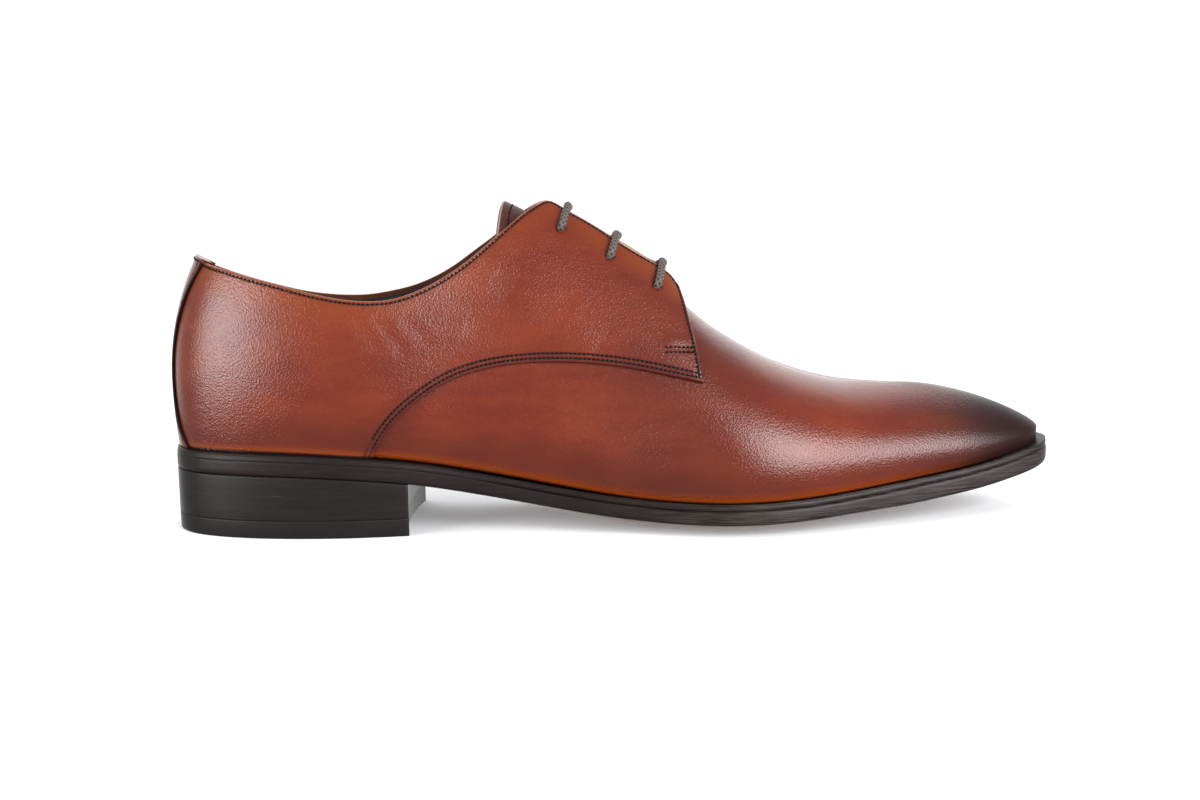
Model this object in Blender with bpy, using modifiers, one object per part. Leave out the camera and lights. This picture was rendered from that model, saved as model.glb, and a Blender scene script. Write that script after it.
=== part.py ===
"""Derby shoe for the right foot: sole, heel, hollow upper, quarters, tongue, insole and lace.

The origin is on the floor under the middle of the heel. +X points to the toe, -Y to the outer
side of the foot and +Z up. Sizes are in millimetres here and are scaled to metres in the mesh.
"""
import bmesh
import bpy
import numpy as np
from mathutils import Matrix, Vector

MM = 0.001

# Sizes of the shoe
SOLE_THICK = 5.2
MIDSOLE_THICK = 2.0
GAP = 0.3
LAP = 0.45
TOP_PIECE = 6.0
BREAST_X = 41.0
BREAST_SKEW = 3.0
BREAST_HOLLOW = 2.5
WALL = 1.3
QUARTER = 1.6
STRIP = 0.9
STRIP_HALF_WIDTH = 5.5
TONGUE = 2.0
TONGUE_SWELL = 2.0
INSOLE = 2.5
LACE_RADIUS = 1.3
EYELET_RADIUS = 1.75
THROAT_X = 119.0
TUCK = 0.2


class Table:
    """A short table with named columns, read on smooth curves through its rows."""

    def __init__(self, columns, *rows):
        data = np.array(rows, float)
        self.column = {name: data[:, i] for i, name in enumerate(columns.split())}
        self.knots = data[:, 0]
        self.bends = {name: bends(self.knots, v[:, None]) for name, v in self.column.items()}

    def __call__(self, name, x):
        values = self.column[name][:, None]
        return smooth(self.knots, values, self.bends[name], x)[..., 0]


def bends(knots, values, closed=False):
    """Second slopes of the cubic spline through the values, with free ends or closed."""
    n = len(knots)
    h = np.diff(knots)
    slope = np.diff(values, axis=0) / h[:, None]
    a = np.zeros((n, n))
    b = np.zeros((n, values.shape[1]))
    for i in range(1, n - 1):
        a[i, i - 1:i + 2] = h[i - 1], 2 * (h[i - 1] + h[i]), h[i]
        b[i] = 6 * (slope[i] - slope[i - 1])
    a[0, 0] = 1
    a[-1, -1] = 1
    if closed:
        a[0, 0] = 2 * (h[-1] + h[0])
        a[0, 1] = h[0]
        a[0, n - 2] = h[-1]
        b[0] = 6 * (slope[0] - slope[-1])
        a[-1, 0] = -1
    return np.linalg.solve(a, b)


def smooth(t, y, m, at):
    """Value at a place of the cubic spline with second slopes m."""
    x = np.asarray(at, float)
    i = np.clip(np.searchsorted(t, x, side="right") - 1, 0, len(t) - 2)
    h = (t[i + 1] - t[i])[..., None]
    p = (t[i + 1] - x)[..., None]
    q = (x - t[i])[..., None]
    cubic = (m[i] * p ** 3 + m[i + 1] * q ** 3) / (6 * h)
    return cubic + (y[i] / h - m[i] * h / 6) * p + (y[i + 1] / h - m[i + 1] * h / 6) * q


# Outline of the sole seen from above: distance from the heel's axis at each x
OUTLINE = Table(
    "x lateral medial",
    (-39.6, 0, 0), (-37.5, 10, 10), (-32, 17.6, 17.6), (-23, 23.6, 23.6), (-10, 28.3, 28.3),
    (6, 31.1, 31.1), (24, 31.9, 31.5), (42, 30.6, 29.6), (60, 29.6, 26.6), (80, 31.2, 25.8),
    (100, 34.8, 30.0), (118, 39.4, 38.4), (134, 44.2, 46.4), (150, 47.4, 50.8), (166, 46.6, 50.8),
    (184, 42.0, 46.8), (204, 35.8, 40.0), (224, 29.6, 32.2), (240, 24.6, 25.8), (252, 20.0, 20.4),
    (260, 15.2, 15.2), (265, 9.0, 9.0), (267.4, 0, 0))

# Sole: height of its lower rim, how far its middle hangs below the rim, width of the welt
SOLE = Table(
    "x rim sag margin",
    (-40, 21.0, 0.0, 0.6), (-30, 21.0, 0.0, 1.5), (-10, 20.9, 0.0, 2.1), (10, 20.2, 0.0, 2.2),
    (26, 19.0, 0.0, 2.2), (42, 17.1, 0.0, 2.3), (60, 13.9, 0.6, 2.6), (80, 10.2, 1.8, 2.7),
    (100, 6.8, 3.6, 2.8), (120, 4.6, 5.0, 2.9), (140, 3.9, 5.4, 3.0), (160, 4.2, 5.4, 3.1),
    (180, 5.2, 4.8, 3.1), (200, 7.0, 4.0, 3.1), (220, 9.2, 3.0, 3.2), (240, 12.0, 1.1, 3.4),
    (250, 14.0, 0.3, 3.6), (258, 15.7, 0.0, 3.6), (268, 17.8, 0.0, 3.6))

# Crown of the last: height of its ridge seen from the side
CROWN = Table(
    "x z",
    (20, 134), (40, 126), (60, 117.5), (80, 108.5), (100, 98.6), (115, 90), (131, 78.8),
    (143, 68.2), (152, 62), (160.4, 57), (169, 52.9), (178, 49.8), (188, 47.4), (198, 45.8),
    (206, 45.3), (214, 45.0))

# Sections of the last, one a row, from the welt at x up to the ridge at crown_x, crown_y:
# height of the widest point, its reach past the welt line on each side, fullness of side and top
SECTIONS = Table(
    "x crown_x crown_y wide_z lateral medial side top",
    (-40, 27, 0.0, 22.6, 1.4, 1.4, 0.55, 0.55), (-10, 32, 0.0, 22.5, 2.2, 2.4, 0.55, 0.54),
    (24, 45, 0.3, 22.0, 2.8, 3.8, 0.52, 0.54), (60, 66, 1.2, 21.0, 3.3, 6.0, 0.44, 0.57),
    (80, 81, 2.0, 19.0, 3.3, 6.3, 0.39, 0.60), (100, 98, 3.0, 16.5, 3.1, 5.0, 0.37, 0.61),
    (118, 114, 3.5, 14.0, 2.8, 3.2, 0.38, 0.60), (134, 129, 3.5, 12.0, 2.4, 2.2, 0.42, 0.58),
    (150, 144, 3.2, 11.0, 2.1, 1.9, 0.47, 0.58), (166, 158, 3.0, 10.0, 2.0, 1.7, 0.50, 0.58),
    (184, 172, 2.2, 9.0, 1.8, 1.6, 0.50, 0.58), (204, 187, 1.4, 8.0, 1.6, 1.5, 0.48, 0.56),
    (224, 200, 0.6, 6.8, 1.5, 1.4, 0.43, 0.53), (240, 208, 0.2, 5.4, 1.4, 1.3, 0.36, 0.50),
    (252, 212, 0.0, 4.4, 1.3, 1.2, 0.27, 0.47), (260, 213.5, 0.0, 3.8, 1.2, 1.2, 0.20, 0.46),
    (268, 214, 0.0, 3.4, 1.2, 1.2, 0.15, 0.46))

# Layers over the last: the quarter's outer face, how far the facings rise over the crown,
# and the tongue's outer face
LAYERS = Table(
    "x quarter rise tongue",
    (-40, -1.25, 0.0, -1.5), (-10, -0.9, 0.0, -1.5), (30, 0.0, 0.0, -1.5),
    (50, 0.4, 0.0, -1.5), (60, 0.6, 0.6, -1.5), (70, 0.8, 3.0, -1.4), (80, 1.0, 6.4, -1.0),
    (90, 1.2, 8.8, -1.0), (98, 1.45, 9.6, -1.1), (106, 1.7, 9.8, -1.6), (113, 1.9, 9.8, -2.0),
    (122, 2.05, 9.8, -2.0), (134, 2.05, 9.4, -2.0), (150, 2.05, 9.0, -2.0))

# Top edge of the quarters from the heel over the collar to the front of the facing
TOPLINE = Table(
    "x z",
    (-45, 92.6), (-31, 91.4), (-26, 90.2), (-16.6, 88), (-8, 85.7), (1, 83.4), (10, 81.2),
    (19, 79.3), (28, 78.4), (36, 78.8), (44, 80), (51, 82.6), (58, 86.8), (66, 92.8), (74, 100.2),
    (80, 106), (85, 109), (89.5, 109.9), (95, 108.2), (101, 105.2), (107, 102.1), (114, 98.2),
    (121, 94.0), (127, 89.8), (131, 86), (134, 81.4), (140, 76), (150, 70))

# Top edge of the hollow wall, which drops under the facings as far as the throat of the vamp
THROAT = Table(
    "x z",
    (-45, 92.6), (-31, 91.4), (-26, 90.2), (-16.6, 88), (-8, 85.7), (1, 83.4), (10, 81.2),
    (19, 79.3), (28, 78.4), (36, 78.8), (44, 80), (51, 82.6), (56, 84.6), (61, 84.6), (67, 80.6),
    (75, 75.5), (84, 72.5), (94, 71.5), (104, 72.5), (113, 75), (125, 78))

# Seam where the quarter ends over the vamp, then the front edge of the facing
SEAM = Table(
    "x z",
    (24, 12), (29.1, 25.4), (33.4, 33.4), (38.9, 40.1), (45.6, 45.7), (55.6, 51.8), (65.5, 55.2),
    (78.7, 57.3), (91.9, 57.7), (105.2, 57), (118.6, 55.2), (128.6, 53.2), (138.6, 51.2))
FACING_FRONT = Table("z x", (51.2, 138.6), (63, 137.4), (71, 136), (78.6, 134.7), (81.4, 134),
                     (100, 134))
EYELETS = Table("x z", (92.9, 101), (109.3, 90.6), (125.8, 80.8))


# The outline as one closed loop, heel, outer side, toe, inner side, and the share of each point
LATERAL = np.stack([OUTLINE.knots, -OUTLINE.column["lateral"]], 1)
MEDIAL = np.stack([OUTLINE.knots, OUTLINE.column["medial"]], 1)
LOOP = np.concatenate([LATERAL, MEDIAL[-2::-1]])
CHORD = np.concatenate([[0], np.cumsum(np.linalg.norm(np.diff(LOOP, axis=0), axis=1))])
MIDDLE = (OUTLINE.knots[0] + OUTLINE.knots[-1]) / 2
HALF = (OUTLINE.knots[-1] - OUTLINE.knots[0]) / 2
WALK = np.linspace(0, CHORD[-1], 4001)
WALK_PLAN = smooth(CHORD, LOOP, bends(CHORD, LOOP, closed=True), WALK)
WALK_SHARE = np.arccos(np.clip((MIDDLE - WALK_PLAN[:, 0]) / HALF, -1, 1)) / np.pi
TIP = int(np.argmax(WALK_SHARE))
WALK_SHARE[TIP] = 1
AHEAD = np.roll(WALK_PLAN[:-1], -1, axis=0) - np.roll(WALK_PLAN[:-1], 1, axis=0)
WALK_OUT = np.stack([AHEAD[:, 1], -AHEAD[:, 0]], 1) / np.linalg.norm(AHEAD, axis=1)[:, None]
WALK_OUT = np.concatenate([WALK_OUT, WALK_OUT[:1]])


def station(share):
    """x of a share of the length, 0 at the back of the heel and 1 at the toe."""
    return MIDDLE - HALF * np.cos(np.pi * np.asarray(share, float))


def share_of(x):
    """Share of the length at x."""
    return np.arccos(np.clip((MIDDLE - np.asarray(x, float)) / HALF, -1, 1)) / np.pi


def even_shares(count, first=0.0, last=1.0):
    """Shares at even steps along the outline between two shares."""
    walk = np.interp([first, last], WALK_SHARE[:TIP + 1], WALK[:TIP + 1])
    return np.interp(np.linspace(*walk, count), WALK[:TIP + 1], WALK_SHARE[:TIP + 1])


def outline(share, side, inset=0.0):
    """Point of the sole's outline and the direction out of it; side is -1 outer, 1 inner."""
    if side < 0:
        walk = np.interp(share, WALK_SHARE[:TIP + 1], WALK[:TIP + 1])
    else:
        walk = np.interp(share, WALK_SHARE[TIP:][::-1], WALK[TIP:][::-1])
    plan = [np.interp(walk, WALK, column) for column in (*WALK_PLAN.T, *WALK_OUT.T)]
    point, out = np.stack(plan[:2], -1), np.stack(plan[2:], -1)
    ends = (np.asarray(share) <= 0) | (np.asarray(share) >= 1)
    out[..., 1] = np.where(ends, 0, out[..., 1])
    point[..., 1] = np.where(ends, 0, point[..., 1])
    return point - out * np.asarray(inset)[..., None], out


def last(share, v, side, rise=0.0):
    """Surface of the last: v is 0 at the welt, TUCK at the widest point and 1 on the ridge."""
    share, v = np.broadcast_arrays(np.asarray(share, float), np.asarray(v, float))
    x = station(share)
    foot, out = outline(share, side, SOLE("margin", x))
    foot_z = SOLE("rim", x) + SOLE_THICK + MIDSOLE_THICK + GAP
    reach = SECTIONS("lateral" if side < 0 else "medial", x)
    wide_z = SECTIONS("wide_z", x)
    crown = np.stack([SECTIONS("crown_x", x), SECTIONS("crown_y", x)], -1)
    crown_z = CROWN("z", crown[..., 0])
    t = np.minimum(v / TUCK, 1)
    low = foot + out * (reach * t * (2 - t))[..., None]
    low_z = foot_z + wide_z * t
    b = np.clip((v - TUCK) / (1 - TUCK), 0, 1)
    c0, c1, c2, c3 = (1 - b) ** 3, 3 * b * (1 - b) ** 2, 3 * b * b * (1 - b), b ** 3
    wide = foot + out * reach[..., None]
    toward_side = c0 + c1 + c2 * SECTIONS("top", x)
    toward_top = c1 * SECTIONS("side", x) + c2 + c3
    high = crown + (wide - crown) * toward_side[..., None]
    high_z = foot_z + wide_z + (crown_z - foot_z - wide_z) * toward_top + rise * toward_top ** 4
    plan = np.where((v < TUCK)[..., None], low, high)
    return np.concatenate([plan, np.where(v < TUCK, low_z, high_z)[..., None]], -1)


def skin(share, v, side, offset=0.0, rise=0.0):
    """Point at an offset out from the last's surface."""
    share, v, rise = np.broadcast_arrays(np.asarray(share, float), np.asarray(v, float), rise)
    step = 0.002
    w = np.minimum(v, 0.985)
    s0, s1 = np.maximum(share - step, 0), np.minimum(share + step, 1)
    w0, w1 = w - step, w + step
    along = last(s1, w, side, rise) - last(s0, w, side, rise)
    up = last(share, w1, side, rise) - last(share, w0, side, rise)
    out = np.cross(along, up) * -side
    middle = (share <= 0) | (share >= 1) | (v >= 1)
    out[..., 1] = np.where(middle, 0, out[..., 1])
    out /= np.linalg.norm(out, axis=-1, keepdims=True)
    return last(share, v, side, rise) + out * np.broadcast_to(offset, share.shape)[..., None]


def rise_at(share):
    """How far the facings stand over the crown at a share of the length."""
    return LAYERS("rise", np.minimum(station(share), 150))


def quarter_face(share):
    """Offset of the quarter's outer face at a share of the length."""
    return LAYERS("quarter", np.minimum(station(share), 134))


def edge_share(share, side, edge, offset, rise):
    """v at which each section crosses an edge drawn in side view; 1 where it stays below."""
    low = np.full(share.shape, 0.05)
    high = np.ones(share.shape)
    for _ in range(30):
        v = (low + high) / 2
        p = skin(share, v, side, offset, rise)
        over = p[..., 2] > edge("z", np.clip(p[..., 0], edge.knots[0], edge.knots[-1]))
        high = np.where(over, v, high)
        low = np.where(over, low, v)
    return np.where(high > 0.995, 1.0, high)


def locate(x, z, side):
    """Share and v of the quarter's point that side view shows at x, z."""
    place = np.array([share_of(x), 0.8])
    for _ in range(12):
        here, by_share, by_v = (on_quarter(place + step, side)[[0, 2]] for step in
                                ((0, 0), (0.0001, 0), (0, 0.0001)))
        slopes = np.stack([by_share - here, by_v - here], 1) / 0.0001
        place = place + np.linalg.solve(slopes, np.array([x, z]) - here)
    return place


def on_quarter(place, side, offset=0.0):
    """Point over or under the quarter's outer face at a share and v."""
    share, v = place
    return skin(share, v, side, quarter_face(share) + offset, rise_at(share))


def link(mesh_object):
    """Add an object to the shoe's collection."""
    SHOE.objects.link(mesh_object)
    return mesh_object


def mesh_from(name, points, faces, material):
    """Object from points and faces, its loose points dropped and its normals turned outward."""
    mesh = bpy.data.meshes.new(name)
    bm = bmesh.new()
    verts = [bm.verts.new(Vector(p) * MM) for p in points]
    for face in faces:
        bm.faces.new([verts[i] for i in face])
    bmesh.ops.delete(bm, geom=[v for v in bm.verts if not v.link_faces], context="VERTS")
    bmesh.ops.recalc_face_normals(bm, faces=bm.faces)
    bm.to_mesh(mesh)
    bm.free()
    mesh.shade_smooth()
    if material:
        mesh.materials.append(material)
    return bpy.data.objects.new(name, mesh)


def wall_between(name, outer, inner, material):
    """Closed solid between matching outer and inner grids, with a rim along every free edge."""
    points = np.concatenate([grid.reshape(-1, 3) for grid in outer])
    under = np.concatenate([grid.reshape(-1, 3) for grid in inner])
    apart = np.linalg.norm(points[:, None] - points[None], axis=2)
    weld = np.argmax(apart < 0.1, axis=1)
    triangles = []
    first = 0
    for grid in outer:
        rows, columns = grid.shape[:2]
        index = weld[first:first + rows * columns].reshape(rows, columns)
        first += rows * columns
        for i in range(rows - 1):
            for j in range(columns - 1):
                ring = [index[i, j], index[i + 1, j], index[i + 1, j + 1], index[i, j + 1]]
                for triangle in (ring[:3], [ring[0], ring[2], ring[3]]):
                    if len(set(triangle)) == 3:
                        triangles.append(triangle)
    count = len(points)
    uses = {}
    for ring in triangles:
        for a, b in zip(ring, ring[1:] + ring[:1]):
            uses[frozenset((a, b))] = uses.get(frozenset((a, b)), 0) + 1
    faces = triangles + [[k + count for k in ring[::-1]] for ring in triangles]
    for edge, times in uses.items():
        if times == 1:
            a, b = edge
            faces.append([a, b, b + count, a + count])
    return mesh_from(name, np.concatenate([points, under]), faces, material)


def bevel(item, width, angle=50.0):
    """Break the sharp edges of a piece."""
    modifier = item.modifiers.new("edge", "BEVEL")
    modifier.width = width * MM
    modifier.segments = 1
    modifier.limit_method = "ANGLE"
    modifier.angle_limit = np.radians(angle)
    return item


def prism(name, outline_xz, y0, y1):
    """Cutter with a side-view outline, through the shoe from y0 to y1."""
    bm = bmesh.new()
    face = bm.faces.new([bm.verts.new(Vector((x, y0, z)) * MM) for x, z in outline_xz])
    pushed = bmesh.ops.extrude_face_region(bm, geom=[face])["geom"]
    moved = [v for v in pushed if isinstance(v, bmesh.types.BMVert)]
    bmesh.ops.translate(bm, verts=moved, vec=Vector((0, y1 - y0, 0)) * MM)
    bmesh.ops.recalc_face_normals(bm, faces=bm.faces)
    mesh = bpy.data.meshes.new(name)
    bm.to_mesh(mesh)
    bm.free()
    return cutter(bpy.data.objects.new(name, mesh))


def cutter(item):
    """Keep a cutting tool out of the render."""
    CUTTERS.objects.link(item)
    item.hide_render = True
    item.display_type = "WIRE"
    return item


def cut(item, tool):
    """Cut a piece with a tool."""
    modifier = item.modifiers.new("cut", "BOOLEAN")
    modifier.operation = "DIFFERENCE"
    modifier.solver = "EXACT"
    modifier.object = tool


def paint(name, colour, roughness, metallic=0.0):
    """Plain material for a piece."""
    material = bpy.data.materials.new(name)
    material.use_nodes = True
    shader = material.node_tree.nodes["Principled BSDF"]
    shader.inputs["Base Color"].default_value = (*colour, 1)
    shader.inputs["Roughness"].default_value = roughness
    shader.inputs["Metallic"].default_value = metallic
    return material


def across(share, inset, w):
    """Plan of a plate: w runs from -1 on the outer rim to 1 on the inner rim."""
    outer, _ = outline(share, -1, inset)
    inner, _ = outline(share, 1, inset)
    w = w[:, None, None]
    return outer * (1 - w) / 2 + inner * (1 + w) / 2


def underside(plan, w):
    """Height of the sole's lower face: its middle sags below the rim and stops at the floor."""
    x = plan[..., 0]
    rim = SOLE("rim", x)
    dome = np.clip((1 - np.abs(w[:, None])) / 0.55, 0, 1)
    return np.maximum(rim - SOLE("sag", x) * dome * (2 - dome), 0)


def plate(name, shares, inset, low, high, material):
    """Plate that follows the sole, from one height over its lower face to another."""
    w = np.array([-1, -0.8, -0.45, 0, 0.45, 0.8, 1.0])
    plan = across(shares, inset, w)
    z = underside(plan, w)
    top = np.concatenate([plan, (z + high)[..., None]], -1)
    bottom = np.concatenate([plan, (z + low)[..., None]], -1)
    return wall_between(name, [top], [bottom], material)


def heel_block(name, low, high, inset_low, inset_high, material):
    """Layer of the heel between two heights, its front edge hollowed like the breast."""
    w = np.array([-1, -0.6, -0.2, 0.2, 0.6, 1.0])
    breast = BREAST_X + BREAST_SKEW * (w + 1) / 2 - BREAST_HOLLOW * (1 - w * w)
    ends = share_of(breast)
    steps = even_shares(15, 0.0, share_of(BREAST_X)) / share_of(BREAST_X)
    grids = []
    for height, inset in ((high, inset_high), (low, inset_low)):
        rows = []
        for side_w, end in zip(w, ends):
            share = steps * end
            rows.append(across(share, inset, np.array([side_w]))[0])
        plan = np.array(rows)
        z = height if np.isscalar(height) else height(plan[..., 0])
        grids.append(np.concatenate([plan, np.broadcast_to(z, plan.shape[:2])[..., None]], -1))
    return wall_between(name, [grids[0]], [grids[1]], material)


def side_grid(shares, rows, side, offset, rise, edge=None):
    """Grid of a shoe side from the welt up to an edge, at an offset from the last."""
    top = edge_share(shares, side, edge, offset, rise) if edge else np.ones(shares.shape)
    grid = skin(shares[None, :], rows[:, None] * top[None, :], side, offset, rise)
    grid[0, :, 2] = SOLE("rim", station(shares)) + SOLE_THICK + MIDSOLE_THICK + GAP
    return grid


# Start from an empty file
for old in list(bpy.data.objects):
    bpy.data.objects.remove(old, do_unlink=True)
SHOE = bpy.data.collections.new("derby_shoe")
CUTTERS = bpy.data.collections.new("cutters")
bpy.context.scene.collection.children.link(SHOE)
bpy.context.scene.collection.children.link(CUTTERS)

LEATHER = paint("upper_leather", (0.21, 0.045, 0.02), 0.35)
STRIP_LEATHER = paint("strip_leather", (0.12, 0.03, 0.02), 0.38)
TONGUE_LEATHER = paint("tongue_leather", (0.10, 0.03, 0.02), 0.45)
SOLE_EDGE = paint("sole_edge", (0.035, 0.026, 0.022), 0.4)
WELT = paint("welt", (0.045, 0.03, 0.025), 0.45)
HEEL = paint("heel_layers", (0.03, 0.024, 0.021), 0.4)
RUBBER = paint("top_piece", (0.02, 0.018, 0.017), 0.6)
LINING = paint("insole_leather", (0.02, 0.018, 0.017), 0.7)
CORD = paint("lace_cord", (0.05, 0.038, 0.033), 0.6)

# Sole and heel
SOLE_SHARES = even_shares(42)
outsole = link(plate("outsole", SOLE_SHARES, 0.0, 0.0, SOLE_THICK - GAP, SOLE_EDGE))
bevel(outsole, 0.7)
midsole = link(plate("midsole", SOLE_SHARES, 0.25, SOLE_THICK, SOLE_THICK + MIDSOLE_THICK, WELT))
bevel(midsole, 0.4)
stack = link(heel_block("heel_stack", TOP_PIECE + GAP, lambda x: SOLE("rim", x) - GAP,
                        0.45, 0.1, HEEL))
top_piece = link(heel_block("heel_top_piece", 0.0, TOP_PIECE, 0.6, 0.45, RUBBER))
bevel(top_piece, 0.4)

# Hollow upper on the last: open at the collar as far as the throat, closed over the vamp
SHARES = even_shares(44)
ROWS = np.array([0, 0.1, 0.22, 0.36, 0.5, 0.64, 0.78, 0.9, 1.0])
BACK = SHARES[:np.argmax(station(SHARES) > THROAT_X) + 1]
FRONT = SHARES[len(BACK) - 1:]
grids = []
for depth in (0.0, WALL):
    patches = []
    for side in (-1, 1):
        base = quarter_face(BACK) - QUARTER - LAP - depth
        patches.append(side_grid(BACK, ROWS, side, base, 0 * BACK, THROAT))
        corner = edge_share(BACK[-1:], side, THROAT, base[-1:], 0 * BACK[-1:])[0]
        v = np.concatenate([ROWS * corner, corner + (1 - corner) * np.array([0.5, 1.0])])
        base = quarter_face(FRONT) - QUARTER - LAP - depth
        patches.append(side_grid(FRONT, v, side, base, 0 * FRONT))
    grids.append(patches)
upper = link(wall_between("upper", *grids, LEATHER))

# Quarters: a larger form over the upper, cut along the seam and the front of the facing
FORM = SHARES[station(SHARES) < 152]
QUARTER_ROWS = np.array([0, 0.1, 0.22, 0.36, 0.5, 0.64, 0.78, 0.9, 1.0])
away = [*zip(SEAM.knots, SEAM.column["z"]),
        *zip(FACING_FRONT.column["x"][1:], FACING_FRONT.knots[1:])]
away += [(134, 130), (200, 130), (200, -5), (22, -5)]
vamp_side = prism("vamp_side", away, -80, 80)
for side, name in ((-1, "quarter_lateral"), (1, "quarter_medial")):
    face, rise = quarter_face(FORM), rise_at(FORM)
    layers = [side_grid(FORM, QUARTER_ROWS, side, face - depth, rise, TOPLINE) for depth in (0, QUARTER)]
    for layer in layers:
        layer[:, 0, 1] = side * GAP / 2
    quarter = link(wall_between(name, layers[:1], layers[1:], LEATHER))
    cut(quarter, vamp_side)

# Eyelets: three plain holes punched through each facing
EYELET_PLACES = {side: [locate(x, z, side) for x, z in zip(EYELETS.knots, EYELETS.column["z"])]
                 for side in (-1, 1)}


for side, name in ((-1, "quarter_lateral"), (1, "quarter_medial")):
    for number, place in enumerate(EYELET_PLACES[side], 1):
        high, deep = on_quarter(place, side, 3.0), on_quarter(place, side, -5.0)
        bpy.ops.mesh.primitive_cylinder_add(vertices=12, radius=EYELET_RADIUS * MM,
                                            depth=np.linalg.norm(high - deep) * MM)
        punch = bpy.context.active_object
        for home in list(punch.users_collection):
            home.objects.unlink(punch)
        punch.name = f"punch_{name}_{number}"
        turn = Vector(high - deep).to_track_quat("Z", "Y").to_matrix().to_4x4()
        punch.data.transform(Matrix.Translation(Vector((high + deep) / 2) * MM) @ turn)
        cutter(punch)
        cut(SHOE.objects[name], punch)

# Back strip over the seam at the heel
STRIP_ROWS = np.array([0, 0.14, 0.3, 0.46, 0.62, 0.76, 0.88, 0.96, 1.0])
half_share = even_shares(200)[np.argmax(outline(even_shares(200), 1)[0][:, 1] > STRIP_HALF_WIDTH)]
strip_shares = np.array([0.0, 0.55, 1.0]) * half_share
strip_face = quarter_face(strip_shares) + GAP
layers = []
for depth in (STRIP, 0.0):
    layers.append([side_grid(strip_shares, STRIP_ROWS, side, strip_face + depth,
                             0 * strip_shares, TOPLINE) for side in (-1, 1)])
strip = link(wall_between("back_strip", *layers, STRIP_LEATHER))

# Tongue: under the facings, its front tucked under the edge of the vamp
ends = np.linspace(0, 1, 12)
sides = np.array([0.0, 0.25, 0.5, 0.75, 1.0])
layers = []
for depth in (0.0, TONGUE):
    halves = []
    for side in (-1, 1):
        back = station(share_of(69.0)) + 13 * sides[:, None] ** 3
        share = share_of(back + (131.0 - back) * ends[None, :])
        v = 1 - sides[:, None] * np.interp(station(share), (70, 100, 112), (0.33, 0.26, 0.17))
        face = LAYERS("tongue", np.minimum(station(share), 150))
        swell = np.interp(station(share), (78, 92), (TONGUE_SWELL, 0))
        halves.append(skin(share, v, side, face - depth, swell))
    layers.append(halves)
tongue = link(wall_between("tongue", *layers, TONGUE_LEATHER))

# Insole on the midsole, inside the wall
def insole_inset(share):
    """How far the insole lies inside the outline of the sole."""
    x = station(share)
    return SOLE("margin", x) - quarter_face(share) + QUARTER + LAP + WALL + 0.5


INSOLE_SHARES = even_shares(30)
base = SOLE_THICK + MIDSOLE_THICK + GAP
insole = link(plate("insole", INSOLE_SHARES, insole_inset(INSOLE_SHARES), base, base + INSOLE,
                    LINING))


# Lace: three straight bars, joined under the facings into one round cord
def tangent(place, other, side):
    """Direction along the quarter from one place towards another."""
    a, b = on_quarter(place, side), on_quarter(other, side)
    return (b - a) / np.linalg.norm(b - a)


def bend(place, toward, side, height, start):
    """Quarter turn of the lace from an eyelet's axis onto the leather, above or below it."""
    centre = on_quarter(place, side)
    out = on_quarter(place, side, 1.0) - centre
    out /= np.linalg.norm(out)
    along = toward - out * np.dot(toward, out)
    along /= np.linalg.norm(along)
    reach = abs(height - start)
    turns = np.linspace(0, np.pi / 2, 4)[:, None]
    return centre + out * (start + (height - start) * np.sin(turns)) \
        + along * reach * (1 - np.cos(turns))


OVER = LACE_RADIUS + 0.45
UNDER = -(QUARTER + LACE_RADIUS + 0.45)
BESIDE = 0.045


def bar(number, first_side):
    """Points of a bar: up through one eyelet, over both facing edges, down through the other."""
    halves = []
    for side in (-1, 1):
        share, v = EYELET_PLACES[side][number]
        share = np.array([share + 0.004])
        edge = edge_share(share, side, TOPLINE, quarter_face(share), rise_at(share))[0]
        rim = (share[0], edge - 0.004)
        hole = (share[0] - 0.004, v)
        up = bend(hole, tangent(hole, rim, side), side, OVER, 0.0)
        between = ((hole[0] + rim[0]) / 2, (v + rim[1]) / 2)
        halves.append(np.concatenate([up, [on_quarter(between, side, OVER + 0.1),
                                           on_quarter(rim, side, OVER + 0.2)]]))
    middle = (halves[0][-1] + halves[1][-1]) / 2 + (0, 0, 0.8)
    first, second = halves if first_side < 0 else halves[::-1]
    return np.concatenate([first, [middle], second[::-1]])


def run(number, side, step):
    """Points under a facing from one eyelet to the next."""
    here = EYELET_PLACES[side][number]
    there = EYELET_PLACES[side][number + step]
    down = bend(here, tangent(here, there, side), side, UNDER, -QUARTER)
    up = bend(there, tangent(there, here, side), side, UNDER, -QUARTER)
    share = (here[0] + there[0]) / 2
    v = (here[1] + there[1]) / 2
    return np.concatenate([down, [on_quarter((share, v), side, UNDER)], up[::-1]])


def back_run(side):
    """Points from the lowest eyelet under the facing, beside the other runs, to the top one."""
    top, middle, low = EYELET_PLACES[side]
    down = bend(low, tangent(low, middle, side), side, UNDER, -QUARTER)
    beside = []
    for start, end, share in ((low, middle, 0.6), (low, middle, 1.0), (middle, top, 0.5),
                              (middle, top, 1.0)):
        place = np.array(start) * (1 - share) + np.array(end) * share
        beside.append(on_quarter(place - (0, BESIDE), side, UNDER))
    return [*down, *beside]


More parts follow.
